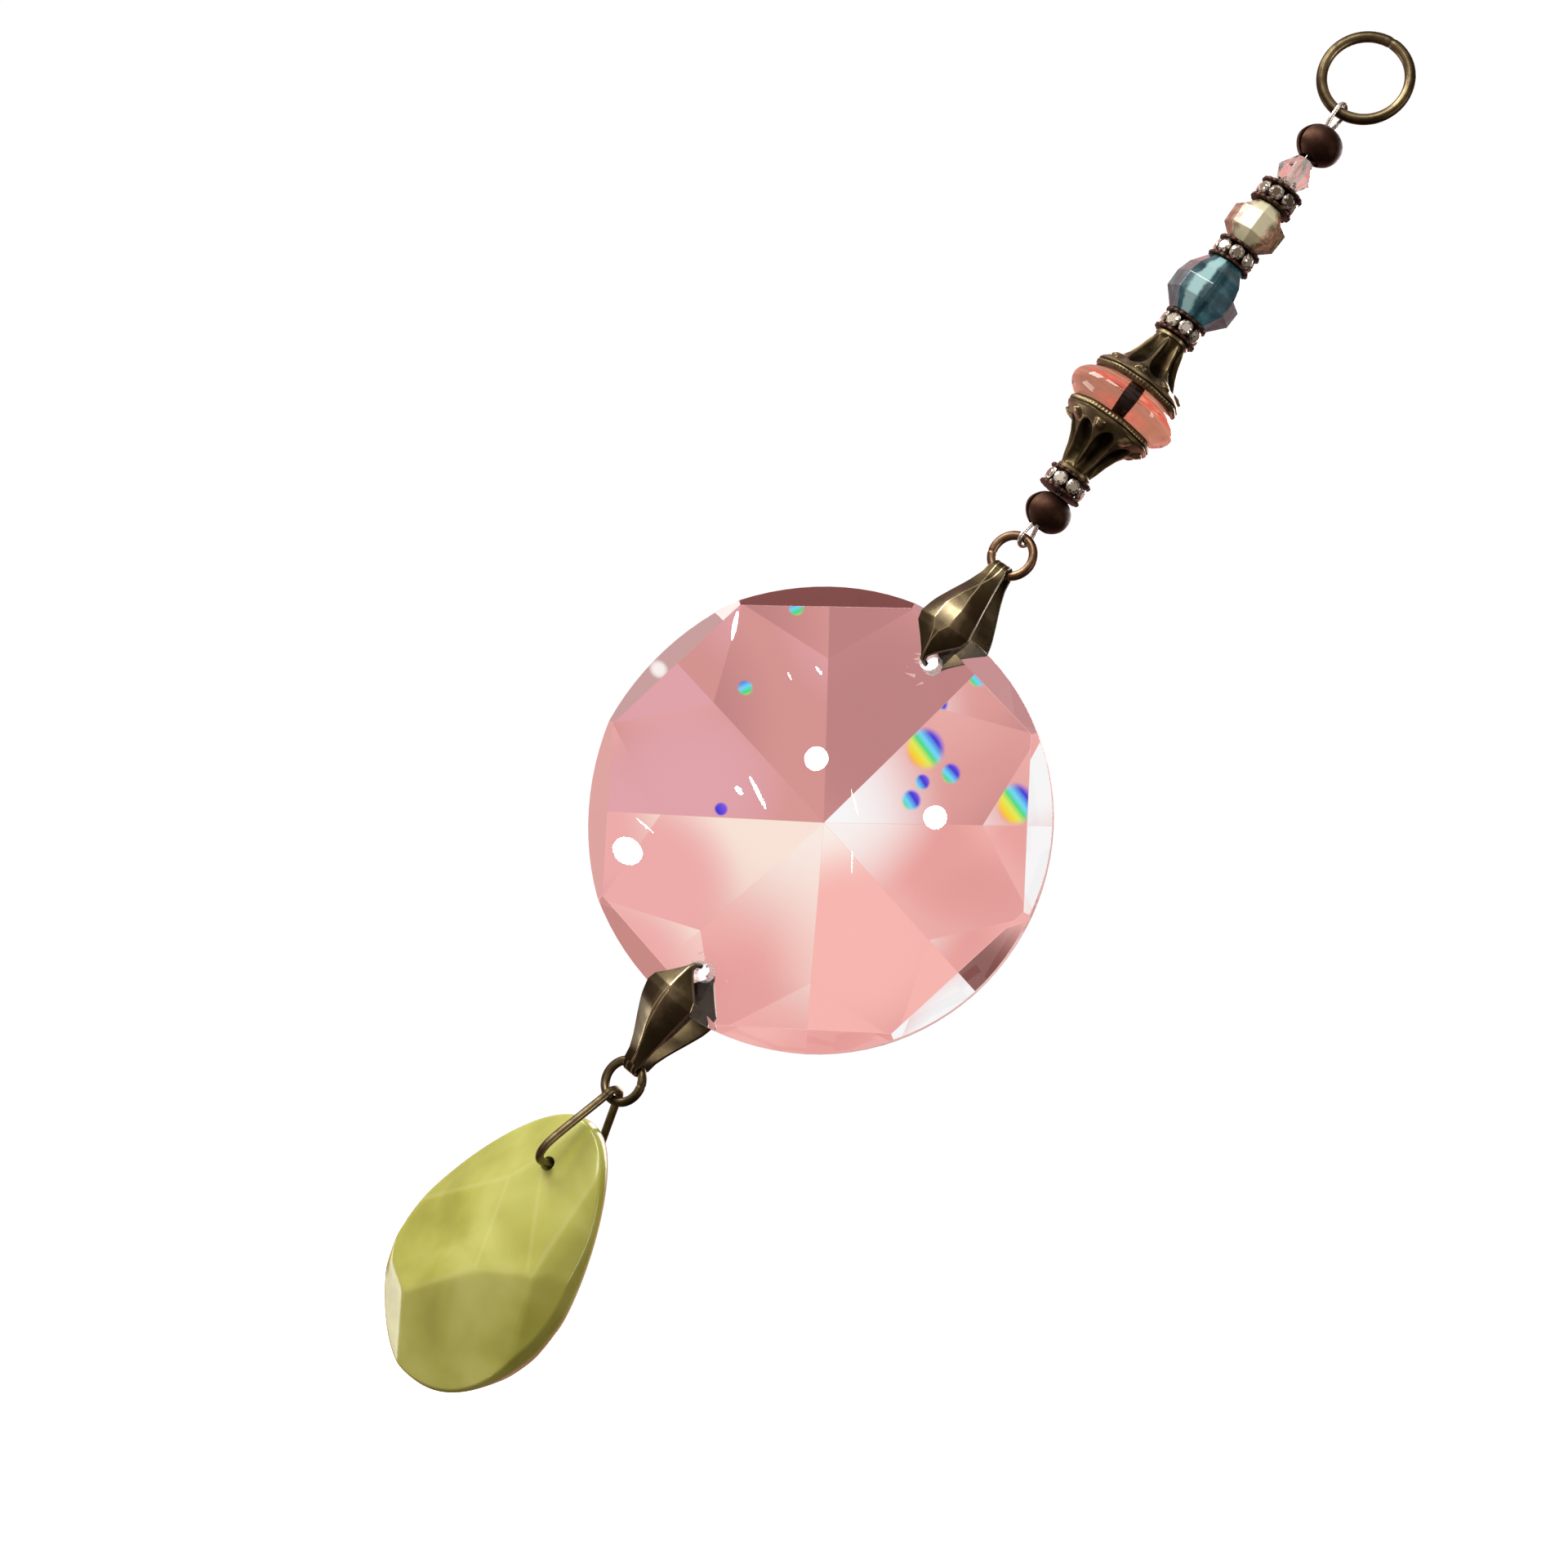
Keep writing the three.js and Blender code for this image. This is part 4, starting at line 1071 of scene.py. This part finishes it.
def fire(tree, direction, under, aside, above, radius, lean, first, last):
    # a spot of split light: a round patch that runs through its part of the spectrum from foot to
    # head
    way, lean = np.array(aim(aside, above)), math.radians(lean)
    head = math.cos(lean) * upWay + math.sin(lean) * rightWay
    head -= way * (head @ way)
    climb = addNode(tree, "VectorMath", dotProduct, "Value", i0=direction,
                    i1=(head / np.linalg.norm(head)).tolist())
    reach = math.sin(math.radians(radius))
    place = addNode(tree, "MapRange", Value=climb, i1=-reach, i2=reach, i3=first, i4=last)
    colour = addNode(tree, "ValToRGB", {"stops": room["spectrum"]}, Fac=place)
    return glow(tree, direction, under, aside, above, radius, 0.6, colour)


def world():
    # white to the camera; to the object a soft room of cream and white patches, brightest at the
    # upper left, with a rosy backdrop straight behind, so that each facet picks up its own tone
    made = bpy.data.worlds.new("studio")
    made.use_nodes = True
    tree = made.node_tree
    tree.nodes.clear()
    direction = addNode(tree, "TexCoord", out="Generated")
    patches = addNode(tree, "TexNoise", Vector=direction, Scale=room["patch"], Detail=1.5)
    tones = addNode(tree, "ValToRGB", {"stops": room["tones"]}, Fac=patches)
    side = addNode(tree, "VectorMath", dotProduct, "Value", i0=direction,
                   i1=room["bright"])
    lit = addNode(tree, "MapRange", Value=side, i1=-1.0, i2=1.0)
    shade = addNode(tree, "ValToRGB", {"stops": room["sides"]}, Fac=lit)
    base = addNode(tree, "Mix", {"data_type": "RGBA", "blend_type": "MULTIPLY"}, 2, i0=1.0, i6=tones,
                   i7=shade)
    # what glass passes on is paler than what the metal mirrors, so clear glass stays clear all round
    path = addNode(tree, "LightPath").node.outputs
    paler = addNode(tree, "Math", {"operation": "MULTIPLY"}, i0=path["Is Transmission Ray"],
                    i1=room["airShare"])
    base = addNode(tree, "Mix", mixColour, 2, i0=paler, i6=base, i7=toLinear(room["air"]))
    folds = addNode(tree, "TexNoise", Vector=direction, Scale=room["folds"], Detail=2.0)
    rosy = addNode(tree, "ValToRGB", {"stops": room["backdrop"]}, Fac=folds)
    seen = glow(tree, direction, base, 0, 0, room["backdropTo"],
                room["backdropFrom"] / room["backdropTo"], rosy)
    for *spot, colour in room["glows"]:
        seen = glow(tree, direction, seen, *spot, toLinear(colour))
    for spot in room["fires"]:
        seen = fire(tree, direction, seen, *spot)
    soft = addNode(tree, "Background", Color=seen, Strength=room["strength"])
    plain = addNode(tree, "Background", Color=toLinear("#ffffff"), Strength=room["white"])
    mix = addNode(tree, "MixShader", i0=path["Is Camera Ray"], i1=soft, i2=plain)
    addNode(tree, "OutputWorld", Surface=mix)
    bpy.context.scene.world = made


world()

scene = bpy.context.scene
scene.view_settings.view_transform = "Standard"
scene.view_settings.look = "None"
cycles = {"max_bounces": 24, "transmission_bounces": 20, "glossy_bounces": 8,
          "transparent_max_bounces": 16, "caustics_reflective": True, "caustics_refractive": True,
          "sample_clamp_indirect": 8.0, "use_denoising": True}
for key, value in cycles.items():
    setattr(scene.cycles, key, value)
print("studio ready")
